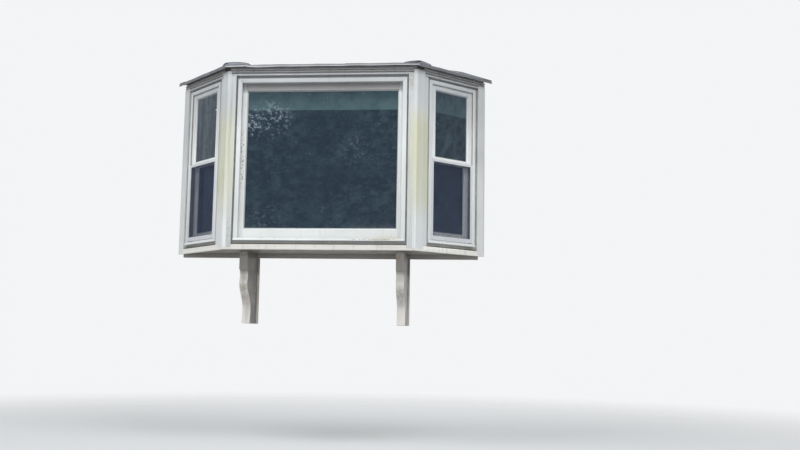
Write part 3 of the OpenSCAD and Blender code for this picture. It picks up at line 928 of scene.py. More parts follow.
# Copies of the white paint: darker and warmer on the front skirt, and lighter on the side skirts, as
# painted light
SKIRT = replace(WHITE, name="skirt_paint", colour=srgb(213, 211, 206))
SIDE_SKIRT = replace(WHITE, name="side_skirt_paint", colour=srgb(236, 235, 229))
BOARD = Paint("board_paint", srgb(221, 225, 226), shade_band_share=0.26, shade_band=(0.25, 1.25), algae=Algae())
# Darker than the board paint: painted shade on the front strips, besides their runs and stains
STRIP = Paint("strip_paint", srgb(196, 200, 202), shade_band_share=0.1, runs=0.34, algae=Algae(share=0.5),
              stains=(Stain(0.672, 1.25, 0.03, 0.09, srgb(150, 140, 128), 0.5),
                      Stain(-0.68, 0.05, 0.05, 0.2, srgb(150, 150, 144), 0.5)))
SASH = Paint("sash_paint", srgb(230, 234, 234), wear=0.35, runs=0.12, dirt_and_shade_share=0.45, corner_shade_reach=12 * MM,
             shade_band_share=0.36, shade_band=(0.6, 1.3),
             stains=(Stain(0.47, 0.075, 0.16, 0.015, srgb(186, 178, 146), 0.4, 90.0),
                     Stain(0.42, 0.068, 0.24, 0.007, BROWN, 0.75, 110.0, (0.46, 0.56))))
# Copies of the sash paint: lighter on the side sashes, as painted light, and darker on the front lip, as
# painted shade
SIDE_SASH = replace(SASH, name="side_sash_paint", colour=srgb(243, 246, 246), shade_band_share=0.42, stains=())
FRONT_LIP = replace(SASH, name="front_lip_paint", colour=srgb(221, 225, 225))
# Painted shade on the top rail, under the head
PICTURE = Paint("picture_paint", srgb(219, 223, 222), wear=0.45, runs=0.16, dirt_and_shade_share=0.35,
                corner_shade_reach=12 * MM, shade_band_share=0.6, shade_band=(1.165, 1.2), painted_shade=srgb(104, 104, 108),
                stains=(Stain(-0.6, 0.66, 0.022, 0.3, BROWN, 0.85, 62.0, (0.53, 0.6)),
                        Stain(0.5, 0.085, 0.12, 0.02, srgb(204, 198, 168), 0.5)))
# Grey paint for the frames' recessed band, apron and reveals: painted shade, with their grime
RECESS_SHADE = Paint("recess_shade_paint", srgb(174, 176, 174), wear=0.2, runs=0.2, dirt_and_shade_share=0.9)
SHADED = replace(RECESS_SHADE, name="shaded_paint", colour=srgb(150, 153, 155))
# A dull grey strip on the jamb next to the wall: painted shade
JAMB_SHADE = Paint("jamb_shade_paint", srgb(150, 150, 148), wear=0.1, runs=0.3)
# Grey paint for the front sash's top rail: painted shade under the head
TOP_RAIL_SHADE = Paint("top_rail_shade_paint", srgb(146, 144, 144), Grain.LEVEL, wear=0.3, runs=0.1, dirt_and_shade_share=0.4)
# Grey: weathered paint, darker still as painted shade under the eaves, with painted shade in its valleys
# and in the groove under the ridges
FASCIA = Paint("fascia_paint", srgb(178, 179, 180), Grain.LEVEL, grime_and_shade=srgb(84, 84, 84), corner_shade_reach=9 * MM,
               dirt_and_shade_share=0.85, shade_band_share=0.55, shade_band=(1.3255, 1.3225), painted_shade=srgb(84, 84, 86))
MOULDING = Paint("moulding_paint", srgb(195, 198, 201), Grain.LEVEL, wear=0.4, dirt_and_shade_share=0.35)
# Painted shade on the soffit boards, under the bay
SOFFIT = Paint("soffit_paint", srgb(121, 117, 109), Grain.LEVEL)
# Painted shade on the strip along the wall, under the bay
LEDGER = Paint("ledger_paint", srgb(142, 139, 134), Grain.LEVEL)
# Painted shade: the block is darker under the bay, and the side faces are darker
BRACKET = Paint("bracket_paint", srgb(214, 210, 205), shade_band_share=0.66, shade_band=(-0.19, -0.14),
                painted_shade=srgb(98, 93, 88), side_shade_share=0.86, runs=0.3,
                stains=(Stain(-0.59, -0.02, 0.04, 0.03, srgb(98, 98, 78), 0.7),
                        Stain(0.575, -0.045, 0.02, 0.03, srgb(150, 116, 82), 0.8),
                        Stain(-0.59, -0.275, 0.05, 0.04, srgb(150, 150, 128), 0.5),
                        Stain(-0.59, -0.36, 0.05, 0.06, srgb(170, 146, 136), 0.5),
                        Stain(0.59, -0.33, 0.05, 0.08, srgb(150, 142, 136), 0.5)))
# Less painted shade on the right bracket's side faces
RIGHT_BRACKET = replace(BRACKET, name="right_bracket_paint", side_shade_share=0.35)
PLY = Timber("plywood", srgb(206, 180, 140), srgb(180, 150, 108))
WOOD = Timber("timber", srgb(196, 170, 130), srgb(164, 134, 96), Grain.UPRIGHT)
# Dark grey: weathered timber, darkened further as painted shade under the eaves
EAVE_WOOD = Timber("eave_timber", srgb(132, 130, 128), srgb(104, 101, 98))
ROOF = Metal()
EAVE_ROOF = Metal("eave_metal", hem_top=1.3655)
LAP_ROOF = Metal("lap_metal", hem_top=1.369)
FLANK_ROOF = Metal("flank_metal", crest=1.3695)
CAP_END = Metal("cap_end_metal", srgb(128, 134, 144), srgb(112, 118, 130), edge=srgb(124, 130, 140))
# Each pane's painted reflections and glints
FRONT_PANE = Glass("front_glass", glints=((-0.55, 0.95, 0.17, 0.9), (-0.37, 0.99, 0.2, 0.55),
                                          (-0.42, 0.2, 0.2, 0.16), (0.24, 0.75, 0.18, 0.14)))
LEFT_PANE = Glass("left_glass", leaf=srgb(54, 70, 84), pale_reflection=srgb(90, 104, 118), pale_band_from=None, streaks=0.5,
                  lean=0.12)
RIGHT_PANE = Glass("right_glass", leaf=srgb(54, 71, 85), pale_reflection=srgb(70, 92, 100), pale_band_from=1.05,
                   streaks=0.4, lean=-0.5)
SCREEN_BAR = Paint("screen_bar", srgb(214, 217, 222), wear=0.1, runs=0.1, specks=0.3)
WIRE = Plain("screen_wire", srgb(50, 62, 90), 0.3)
SPLINE = Plain("screen_spline", srgb(56, 58, 60))
SPACER = Plain("spacer_bar", srgb(150, 154, 158), 0.7)
HARDWARE = Plain("sash_hardware", srgb(206, 204, 196))
NAIL = Plain("nail_head", srgb(194, 193, 188))
DEBRIS = Plain("dead_leaf", srgb(66, 54, 42), gloss=(0.7, 0.9))
FLOOR = Ground("floor", srgb(200, 202, 204))


@dataclass
class TrimBoards:
    """Corner boards and strips, beads, wall casings and skirts, with their nails."""

    bay: Bay
    corner_soft: float = 1.4 * MM
    board_soft: float = 1.6 * MM
    nail_radius: float = 3.0 * MM
    nail_height: float = 0.6 * MM
    nail_inset: float = 14 * MM
    nail_end: float = 60 * MM
    nail_pitch: float = 0.4

    def build(self) -> None:
        """Dress the boards and set their nails."""
        for side in SIDES:
            for node, finish in (("corner_board", BOARD), ("corner_bead", BOARD), ("corner_strip", STRIP)):
                dress(f"{side.value}_{node}", finish, self.corner_soft)
            for node, finish in (("wall_casing", WHITE), ("skirt", SIDE_SKIRT)):
                dress(f"{side.value}_{node}", finish, self.board_soft)
        dress("front_skirt", SKIRT, self.board_soft)
        for side in SIDES:
            self._nails(self.bay.face(side))

    def _nails(self, face: Face) -> None:
        """Set painted nail heads along both edges of a side's upright boards."""
        shape = Shape(face)
        for node in ("corner_board", "wall_casing"):
            e = face.extent(face.named(node))
            left = max(e.s0, 0.0) + self.nail_inset
            right = min(e.s1, self.bay.side_length) - self.nail_inset
            rows = int((e.z1 - e.z0) / self.nail_pitch) + 1
            pitch = (e.z1 - e.z0 - 2 * self.nail_end) / (rows - 1)
            for row in range(rows):
                for s in (left, right):
                    shape.dome((s, 0.0, e.z0 + self.nail_end + row * pitch), self.nail_radius,
                               self.nail_height)
        shape.piece(face.named("trim_nails"), NAIL, "white_paint")


@dataclass
class Fascia:
    """The moulded boards under the eaves, in lengths with butt joints."""

    bay: Bay
    thickness: float = 20 * MM
    head_drop: float = 5 * MM
    head_h: float = 7 * MM
    head_foot: float = 1.5 * MM
    head_ease: float = 3 * MM
    groove_h: float = 10 * MM
    groove_d: float = 9 * MM
    ridges_top: float = 50 * MM
    ridge_steps: int = 8
    ridge_full: float = 0.7
    valley: float = 8 * MM
    board_w: float = 75 * MM
    joints: Pair = (-0.516, -0.209)
    gap: float = 1.4 * MM
    soft: float = 0.8 * MM
    smooth: float = 50.0

    def _moulding(self) -> list[Pair]:
        """Return the section of the head moulding."""
        foot, top = self.bay.head_z - self.head_drop, self.bay.head_z + self.head_h
        third = self.head_ease / 3
        return [(self.thickness, foot), (self.head_foot, foot), (0.0, foot + self.head_foot),
                (0.0, top - self.head_ease), (third, top - third), (self.head_ease, top),
                (self.thickness, top)]

    def _ridges(self) -> list[Pair]:
        """Return the section of the board above, with a groove and two rounded ridges."""
        foot = self.bay.head_z + self.head_h
        low, high = foot + self.groove_h, self.bay.head_z + self.ridges_top
        half = (high - low) / 2
        section = [(self.thickness, foot), (self.groove_d, foot), (self.groove_d, low)]
        for z in (low, low + half):
            for k in range(self.ridge_steps + 1):
                share = k / self.ridge_steps
                bulge = math.sin(math.pi * share) ** self.ridge_full
                section.append((self.valley * (1 - bulge), z + half * share))
        return section + [(self.valley, self.bay.deck_z), (self.thickness, self.bay.deck_z)]

    def _front(self) -> None:
        """Build the front in three lengths, with a gap at each joint."""
        splay = self.bay.splay
        half = self.bay.front_half - self.thickness / math.sin(self.bay.turn)
        head, board = (Shape(self.bay.face(Side.FRONT)) for _ in range(2))
        first, second = self.joints
        lengths = ((-half, first, -splay, 0.0), (first + self.gap, second, 0.0, 0.0),
                   (second + self.gap, half, 0.0, splay))
        for shape, section in ((head, self._moulding()), (board, self._ridges())):
            for stretch in lengths:
                shape.length(section, *stretch)
        self._finish(head, board, "front")

    def _side(self, side: Side) -> None:
        """Build one side: the moulding ends at the casing, the ridges run to the wall."""
        face = self.bay.face(side)
        start, end = face.extent(face.named("wall_casing")).s1, self.bay.side_length - self.board_w
        head, board = Shape(face), Shape(face)
        head.length(self._moulding(), start, end)
        board.length(self._ridges(), 0.0, end, start_mitre=self.bay.splay)
        self._finish(head, board, side.value)

    def _finish(self, head: Shape, board: Shape, side: str) -> None:
        """Make the two pieces for one face."""
        head.piece(f"{side}_head_moulding", MOULDING, "fascia_paint", self.soft, self.smooth)
        piece = board.piece(f"{side}_fascia_ridges", FASCIA, "fascia_paint", self.soft, self.smooth)
        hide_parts(f"{side}_fascia")

    def build(self) -> None:
        """Build the three faces."""
        self._front()
        for side in SIDES:
            self._side(side)


@dataclass(frozen=True)
class Sheet:
    """One sheet of the roof, between two edges whose places are given by depth.

    It ends at the depth reach. turn is the phase of its waves, drip the height of its turned down
    edge, lift its height over its place where it laps, curl how far its last end rises, and sag how
    far its eave sinks at one place.
    """

    low: Callable[[float], float]
    high: Callable[[float], float]
    reach: float
    turn: float
    drip: float
    lift: float = 0.0
    curl: float = 0.0
    sag: float = 0.0

    def at(self, share: float, o: float) -> float:
        """Return the place along the face at a share of the width and the depth o."""
        return self.low(o) + share * (self.high(o) - self.low(o))


@dataclass
class Roof:
    """Sheets with a wavy turned down edge, rolled hip caps, flashing and the boards below.

    The boards end at eave_out and the sheets at edge_out, in front of the trim boards. The waves are
    a long one and a shorter one across it, which fade out inward over wave_fade. A cap's crest slips
    down its front slope at the eave by cap_slip, and runs back to the hip over cap_fade. laps are the
    places where the front's three sheets lap, and cap_plate is where the plate in a cap's end starts
    and stops, counted inward. Other pairs are for the left and the right, or for the first and the
    last sheet of the front.
    """

    bay: Bay
    board: float = 10 * MM
    deck_soft: float = 1.5 * MM
    sheet: float = 2 * MM
    skin: float = 1.2 * MM
    front_drip: float = 18 * MM
    side_drip: float = 24 * MM
    eave_out: float = 30 * MM
    edge_out: float = 38 * MM
    hip_gap: float = 3 * MM
    cap_half: float = 108 * MM
    cap_rise: Pair = (20 * MM, 15 * MM)
    cap_slip: Pair = (70 * MM, 0.0)
    cap_fade: float = 0.2
    cap_steps: int = 16
    cap_plate: Pair = (1.5 * MM, 3 * MM)
    cap_full: float = 0.65
    cap_sink: float = 0.5 * MM
    flash_w: float = 60 * MM
    laps: Pair = (-0.558, 0.19)
    lap_over: float = 12 * MM
    lap_end: float = 3.6 * MM
    lap_lifts: Pair = (2.2 * MM, 1.4 * MM)
    front_turns: Triple = (0.4, 2.0, 3.1)
    side_turns: Pair = (1.1, 4.0)
    wave: float = 0.9 * MM
    wave_length: float = 0.31
    cross_length: float = 0.41
    cross_wave: float = 0.45
    wave_fade: float = 0.11
    sag_at: float = -0.446
    sag: float = 4 * MM
    sag_half: float = 0.075
    curl: float = 7 * MM
    curl_up: float = 0.3
    taper: int = 8
    kick: float = 4 * MM
    bend: float = 0.4
    swell: float = 0.4 * MM
    foot_in: float = 0.5 * MM
    foot_w: float = 2.5 * MM
    foot_h: float = 1.5 * MM
    fold: float = 2 * MM
    column: float = 14 * MM
    fewest: int = 6
    smooth: float = 40.0
    RING_SHARES: ClassVar[tuple[float, ...]] = (1.0, 0.72, 0.48, 0.28, 0.14, 0.05)

    @property
    def climb(self) -> float:
        """Rise of a slope for each metre inward."""
        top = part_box("roof_deck")[1].z
        return (top - self.bay.deck_z - self.board) / (self.bay.projection + self.eave_out)

    def height(self, o: float) -> float:
        """Return the level of the boards' top at the depth o."""
        return self.bay.deck_z + self.board + (o + self.eave_out) * self.climb

    def _buckle(self, sheet: Sheet, s: float, o: float) -> float:
        """Return how far the metal lifts or sags at a point, most at the eave."""
        sway = math.sin(math.tau * s / self.wave_length + sheet.turn)
        sway += self.cross_wave * math.sin(math.tau * s / (self.cross_length * self.wave_length)
                                           + 2 * sheet.turn)
        fade = math.exp(-(o + self.edge_out) / self.wave_fade)
        dip = math.exp(-((s - self.sag_at) / self.sag_half) ** 2)
        loose = max(-(o + self.eave_out), 0.0) / (self.edge_out - self.eave_out)
        return self.wave * sway * fade - sheet.sag * dip * loose

    def _front_hip(self, o: float) -> float:
        """Return how far a front corner stands from the middle at the depth o."""
        return self.bay.front_half - self.bay.mitre(o)

    def _side_hip(self, o: float) -> float:
        """Return how far a side's corner stands from the wall at the depth o."""
        return self.bay.side_length - self.bay.mitre(o)

    def _ring(self, sheet: Sheet, share: float) -> list[Triple]:
        """Return one ring of a sheet: over its top to the eave, round the drip and back below.

        Args:
            sheet: the sheet.
            share: the ring's place, as a share of the sheet's width.

        Returns:
            The ring's points.
        """
        rise = sheet.curl * share ** self.taper
        over = self.sheet + sheet.lift + self.curl_up * rise
        top = []
        depths = [(sheet.reach + self.edge_out) * part - self.edge_out for part in self.RING_SHARES]
        for o in (*depths, -self.eave_out, -self.edge_out):
            s = sheet.at(share, o)
            top.append((s, o, self.height(o) + over + self._buckle(sheet, s, o)))
        s, edge, z = top.pop()
        out, low = edge + self.kick, z - (sheet.drip - (1 - self.curl_up) * rise)
        back, bend = out + self.skin, z - self.bend * (z - low)
        hem = [(s, out, z), (s, out - self.swell, bend), (s, edge + self.foot_in, low + self.foot_h),
               (s, edge, low), (s, edge + self.foot_w, low), (s, back, bend), (s, back, z - self.fold)]
        return top + hem + [(a, b, c - self.skin) for a, b, c in reversed(top)]

    def _lay(self, shape: Shape, sheet: Sheet) -> None:
        """Add one sheet, in rings across its width."""
        width = sheet.high(-self.edge_out) - sheet.low(-self.edge_out)
        columns = max(self.fewest, round(width / self.column))
        shape.skin([self._ring(sheet, k / columns) for k in range(columns + 1)])

    def _front(self) -> None:
        """Build the front slope in three lapped sheets, the first of them with a lifted end."""
        first, second = self.laps
        hip, reach, drip = self._front_hip, self.bay.projection, self.front_drip
        meet = (self.bay.front_half + first) / math.tan(self.bay.turn / 2) - self.hip_gap
        lap, sheets = (Shape(self.bay.face(Side.FRONT)) for _ in range(2))
        self._lay(lap, Sheet(lambda o: -hip(o), lambda o: first + self.lap_end, meet,
                             self.front_turns[0], drip, self.lap_lifts[0], self.curl))
        self._lay(sheets, Sheet(lambda o: max(first - self.lap_over, -hip(o)), lambda o: second, reach,
                                self.front_turns[1], drip, sag=self.sag))
        self._lay(sheets, Sheet(lambda o: second - self.lap_over, hip, reach, self.front_turns[2], drip,
                                self.lap_lifts[1]))
        lap.piece("front_roof_lap", LAP_ROOF, "roof_metal", smooth=self.smooth)
        piece = sheets.piece("front_roof_metal", EAVE_ROOF, "roof_metal", smooth=self.smooth)
        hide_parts("front_roof_sheet")

    def _side(self, side: Side) -> None:
        """Build one side slope in one sheet."""
        shape = Shape(self.bay.face(side))
        reach = self.bay.side_length / (self.bay.splay + math.tan(self.bay.turn / 2)) - self.hip_gap
        self._lay(shape, Sheet(lambda o: o * self.bay.splay, self._side_hip, reach,
                               self.side_turns[SIDES.index(side)], self.side_drip))
        piece = shape.piece(f"{side.value}_roof_metal", FLANK_ROOF, "roof_metal", smooth=self.smooth)
        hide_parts(f"{side.value}_roof_sheet")

    def _cap_place(self, side: Side, across: float, o: float, lift: float) -> Triple:
        """Return a point over a hip: across is counted onto the front slope, lift from the boards."""
        step, z = across / math.cos(self.bay.turn / 2), self.height(o) + lift
        if across >= 0:
            return tuple(self.bay.face(Side.FRONT).at(side.hand * (self._front_hip(o) - step), o, z))
        return tuple(self.bay.face(side).at(self._side_hip(o) + step, o, z))

    def _cap_reach(self, across: float) -> float:
        """Return the depth where a cap ends short of the flashing, at a distance across the hip."""
        if across >= 0:
            return self.bay.projection - self.flash_w
        slope = self.bay.splay + math.tan(self.bay.turn / 2)
        return (self.bay.side_length + across / math.cos(self.bay.turn / 2)) / slope - self.flash_w

    def _cap_ring(self, side: Side, along: float, inset: float = 0.0) -> list[Triple]:
        """Return the loop of a hip cap's section, or of the plate that closes its end.

        Args:
            side: which of the two hips.
            along: share of the way from the eave to the flashing.
            inset: depth of the plate in the cap, or 0 for the cap.

        Returns:
            The loop's points, over the top and back below.
        """
        which = SIDES.index(side)
        run = along * (self.bay.projection + self.edge_out)
        slip = self.cap_slip[which] * math.exp(-run / self.cap_fade)
        crown = self.cap_rise[which] * (1 - along ** self.taper)
        top, low = [], []
        for k in range(-self.cap_steps, self.cap_steps + 1):
            share = k / self.cap_steps
            across = slip + self.cap_half * share
            o = inset - self.edge_out + along * (self._cap_reach(across) + self.edge_out)
            lift = self.sheet + self.skin + crown * max(1 - share * share, 0.0) ** self.cap_full
            top.append(self._cap_place(side, across, o, lift - (self.skin if inset else 0.0)))
            under = self.sheet - self.cap_sink if inset else lift - self.skin
            low.append(self._cap_place(side, across, o, under))
        return top + low[::-1]

    def _caps(self) -> None:
        """Build the two rolled caps with the dull plates that close their ends."""
        caps, ends = Shape(), Shape()
        for side in SIDES:
            caps.skin([self._cap_ring(side, k / self.cap_steps) for k in range(self.cap_steps + 1)])
            ends.skin([self._cap_ring(side, 0.0, inset) for inset in self.cap_plate])
        piece = caps.piece("hip_cap_rolls", ROOF, "roof_metal", smooth=self.smooth)
        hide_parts("hip_caps")
        ends.piece("hip_cap_ends", CAP_END, "roof_metal", smooth=self.smooth)

    def build(self) -> None:
        """Build the metal and dress what lies below and beside it."""
        self._front()
        for side in SIDES:
            self._side(side)
        self._caps()
        dress("wall_flashing", ROOF, 0)
        dress("roof_deck", EAVE_WOOD, self.deck_soft)


@dataclass
class WindowFrame:
    """A unit's frame: jambs, head and sill, with a raised lip round the opening and a sill nose.

    arris, rebate, nose_flat and nose_top are shares of the roundness soft.
    """

    face: Face
    node: str
    band: float = 23 * MM
    lip: float = 28 * MM
    lip_out: float = 14 * MM
    apron: float = 21 * MM
    nose: float = 15 * MM
    nose_out: float = 7 * MM
    rise: float = 10 * MM
    joint: float = 0.5 * MM
    fall: float = 3 * MM
    soft: float = 2 * MM
    drop: float = 0.0
    extra: float = 0.0
    deep: float = 0.0
    box_soft: float = 1.2 * MM
    lip_soft: float = 0.6 * MM
    arris: float = 0.4
    rebate: float = 1.5
    nose_flat: float = 2.5
    nose_top: float = 0.6
    sill_step: float = 1 * MM
    # The thin strip of painted shade on the jamb next to the wall
    shade_strip_gap: float = 1 * MM
    shade_strip_t: float = 0.3 * MM
    shade_strip_back: float = 4 * MM
    smooth: float = 40.0
    # The band, apron and reveals, darker as painted shade
    recess: Paint = RECESS_SHADE
    face_paint: Paint = SASH

    def _box(self, e: Extent, flat: float) -> None:
        """Build the jambs, the head and the sill behind the lip, in place of the solid.

        Args:
            e: the frame's extent.
            flat: depth of its flat outer band.
        """
        shape = Shape(self.face)
        side, foot = self.band + self.lip, e.z0 + self.apron + self.nose + self.rise
        shape.box(replace(e, s1=e.s0 + side, o0=flat))
        shape.box(replace(e, s0=e.s1 - side, o0=flat))
        inner = (e.s0 + side + self.joint, e.s1 - side - self.joint)
        front = flat + self.joint
        shape.box(Extent(*inner, front, e.o1, e.z1 - side, e.z1))
        shape.length([(front, e.z0), (front, foot - self.fall), ((flat + e.o1) / 2, foot), (e.o1, foot),
                      (e.o1, e.z0)], *inner)
        piece = shape.piece(f"{self.node}_box", self.recess, "sash_paint", self.box_soft)
        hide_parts(self.node)

    def _lip(self, e: Extent, flat: float) -> None:
        """Build the raised lip in three lengths, mitred at the top, with the sill and its nose.

        Args:
            e: the frame's extent.
            flat: depth of its flat outer band.
        """
        shape = Shape(self.face)
        out, soft = flat - self.lip_out, self.soft
        low, top = e.z0 + self.apron + self.nose, e.z1 - self.band - self.drop
        left, right = e.s0 + self.band, e.s1 - self.band
        wide, ease = self.lip + self.extra, self.arris * self.soft
        section = [(0.0, flat), (0.0, out + soft), (ease, out + ease), (soft, out), (wide - soft, out),
                   (wide - ease, out + ease), (wide, out + soft), (wide, flat + self.deep)]
        if self.deep:
            inset = wide - self.rebate * soft
            section += [(inset, flat + self.deep), (inset, flat)]
        for start, hand in ((left, 1), (right, -1)):
            shape.skin([[(start + hand * inset, o, low) for inset, o in section],
                        [(start + hand * inset, o, top - inset - self.joint) for inset, o in section]])
        shape.skin([[(start + hand * (inset + self.joint), o, top - inset) for inset, o in section]
                    for start, hand in ((left, 1), (right, -1))])
        foot, front = low + self.rise - self.fall, out + self.sill_step
        shape.length([(flat, low), (front, low), (front, foot - soft), (out + 2 * soft, foot),
                      (flat, foot)], left + wide + self.joint, right - wide - self.joint)
        base = low - self.nose
        shape.length([(flat, base), (e.o0 + soft, base), (e.o0, base + soft),
                      (e.o0, low - self.nose_flat * soft), (e.o0 + soft, low - self.nose_top * soft),
                      (out, low), (flat, low)], left, right)
        shape.piece(f"{self.node}_lip", self.face_paint, "sash_paint", self.lip_soft, self.smooth)

    def _jamb_shade(self, e: Extent, flat: float) -> None:
        """Build a thin dull strip on the track that the sashes run in, next to the wall: painted shade."""
        shape = Shape(self.face)
        start, gap = e.s0 + self.band + self.lip, self.shade_strip_gap
        foot, top = e.z0 + self.apron + self.nose + self.rise, e.z1 - self.band - self.lip
        shape.box(Extent(start - gap, start + self.shade_strip_t, flat - self.lip_out + self.soft,
                         e.o1 - self.shade_strip_back, foot + gap, top - gap))
        shape.piece(f"{self.node}_jamb_shade", JAMB_SHADE, "sash_paint")

    def build(self) -> None:
        """Build the frame."""
        e = self.face.extent(self.node)
        flat = e.o0 + self.nose_out + self.lip_out
        self._box(e, flat)
        self._lip(e, flat)
        if self.face.side is not Side.FRONT:
            self._jamb_shade(e, flat)


@dataclass
class Sash:
    """One sash: two stiles, two rails between them and a sloped bead round its pane.

    The bead's section starts at the depths rim in front and at the back. arris is the inset and the
    depth of its next point on both, and slope lists the points of its face, each as a share of the
    bead and a depth.
    """

    face: Face
    node: str
    pane: str
    finish: Paint
    # The top rail's paint; on the front sash a grey one that carries painted shade under the head
    head: Paint
    glass: Glass
    bead: float = 11 * MM
    joint: float = 0.6 * MM
    step: float = 0.4 * MM
    soft: float = 1.2 * MM
    strip: float = 5 * MM
    strip_t: float = 0.3 * MM
    arris: Pair = (1.4 * MM, 0.8 * MM)
    rim: Pair = (1.6 * MM, 1.5 * MM)
    slope: tuple[Pair, ...] = ((0.5, 2 * MM), (0.86, 6 * MM))
    smooth: float = 40.0

    def build(self) -> None:
        """Build the sash in place of its solid, and dress its pane."""
        e, g = self.face.extent(self.node), self.face.extent(self.pane)
        shape, rail = (Shape(self.face) for _ in range(2))
        left, right = g.s0 - self.bead, g.s1 + self.bead
        low, high = g.z0 - self.bead, g.z1 + self.bead
        shape.box(replace(e, s1=left))
        shape.box(replace(e, s0=right))
        inner = replace(e, s0=left + self.joint, s1=right - self.joint, o0=e.o0 + self.step,
                        o1=e.o1 - self.step)
        shape.box(replace(inner, z1=low))
        inset, deep = self.arris
        shape.border(Extent(left, right, 0.0, 0.0, low, high),
                     [(0.0, e.o0 + self.rim[0]), (inset, e.o0 + deep),
                      *((share * self.bead, e.o0 + o) for share, o in self.slope), (self.bead, g.o0),
                      (self.bead, g.o1), (inset, e.o1 - deep), (0.0, e.o1 - self.rim[1])])
        piece = shape.piece(f"{self.node}_joinery", self.finish, "sash_paint", self.soft, self.smooth)
        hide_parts(self.node)
        rail.box(replace(inner, z0=high))
        rail.piece(f"{self.node}_top_rail", self.head, "sash_paint", self.soft)
        self._spacer(g)
        dress(self.pane, self.glass, 0)

    def _spacer(self, g: Extent) -> None:
        """Build the thin bright strips that run round the pane, on both of its faces."""
        shape = Shape(self.face)
        for o in (g.o0 - self.strip_t, g.o1):
            back = o + self.strip_t
            shape.border(g, [(0.0, o), (self.strip, o), (self.strip, back), (0.0, back)])
        shape.piece(f"{self.node}_spacer", SPACER, "glass")


@dataclass
class Screen:
    """A half screen: painted aluminium bars, a rubber spline and woven wires."""

    face: Face
    node: str
    side_bar: float = 20 * MM
    foot: float = 34 * MM
    joint: float = 0.3 * MM
    soft: float = 1.5 * MM
    spline: float = 3.5 * MM
    spline_d: float = 3 * MM
    spline_in: float = 0.8 * MM
    spline_crown: float = 0.6 * MM
    smooth: float = 60.0
    pitch: float = 1.4 * MM
    wire: float = 0.33 * MM
    tuck: float = 2 * MM

    def _bars(self, e: Extent) -> None:
        """Build the frame's four bars."""
        shape = Shape(self.face)
        left, right = e.s0 + self.side_bar, e.s1 - self.side_bar
        inner = replace(e, s0=left + self.joint, s1=right - self.joint, o0=e.o0 + self.joint,
                        o1=e.o1 - self.joint)
        for bar in (replace(e, s1=left), replace(e, s0=right), replace(inner, z1=e.z0 + self.foot),
                    replace(inner, z0=e.z1 - self.side_bar)):
            shape.box(bar)
        piece = shape.piece(f"{self.node}_bars", SCREEN_BAR, "screen_mesh", self.soft)
        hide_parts(self.node)

    def _wires(self, e: Extent) -> None:
        """Weave the upright wires in front of the level ones."""
        shape = Shape(self.face)
        half, depth = self.wire / 2, (e.o0 + e.o1) / 2
        s0, s1 = e.s0 + self.side_bar - self.tuck, e.s1 - self.side_bar + self.tuck
        z0, z1 = e.z0 + self.foot - self.tuck, e.z1 - self.side_bar + self.tuck
        section = ((-half, 0.0), (0.0, -half), (half, 0.0), (0.0, half))
        for k in range(int((s1 - s0) / self.pitch)):
            s, o = s0 + (k + 0.5) * self.pitch, depth - half
            shape.upright([(s + a, o + b) for a, b in section], z0, z1)
        for k in range(int((z1 - z0) / self.pitch)):
            z, o = z0 + (k + 0.5) * self.pitch, depth + half
            shape.length([(o + a, z + b) for a, b in section], s0, s1)
        shape.piece(f"{self.node}_wires", WIRE, "screen_mesh")

    def _spline(self, e: Extent) -> None:
        """Press the spline into the bars, round the wires."""
        shape = Shape(self.face)
        bar = self.side_bar - self.spline
        rim = Extent(e.s0 + bar, e.s1 - bar, 0.0, 0.0, e.z0 + self.foot - self.spline, e.z1 - bar)
        low = e.o0 + self.spline_in
        shape.border(rim, [(0.0, low), (self.spline / 2, low - self.spline_crown), (self.spline, low),
                           (self.spline, low + self.spline_d), (0.0, low + self.spline_d)])
        shape.piece(f"{self.node}_spline", SPLINE, "screen_mesh", smooth=self.smooth)

    def build(self) -> None:
        """Build the screen in place of its solid."""
        e = self.face.extent(self.node)
        self._bars(e)
        self._wires(e)
        self._spline(e)


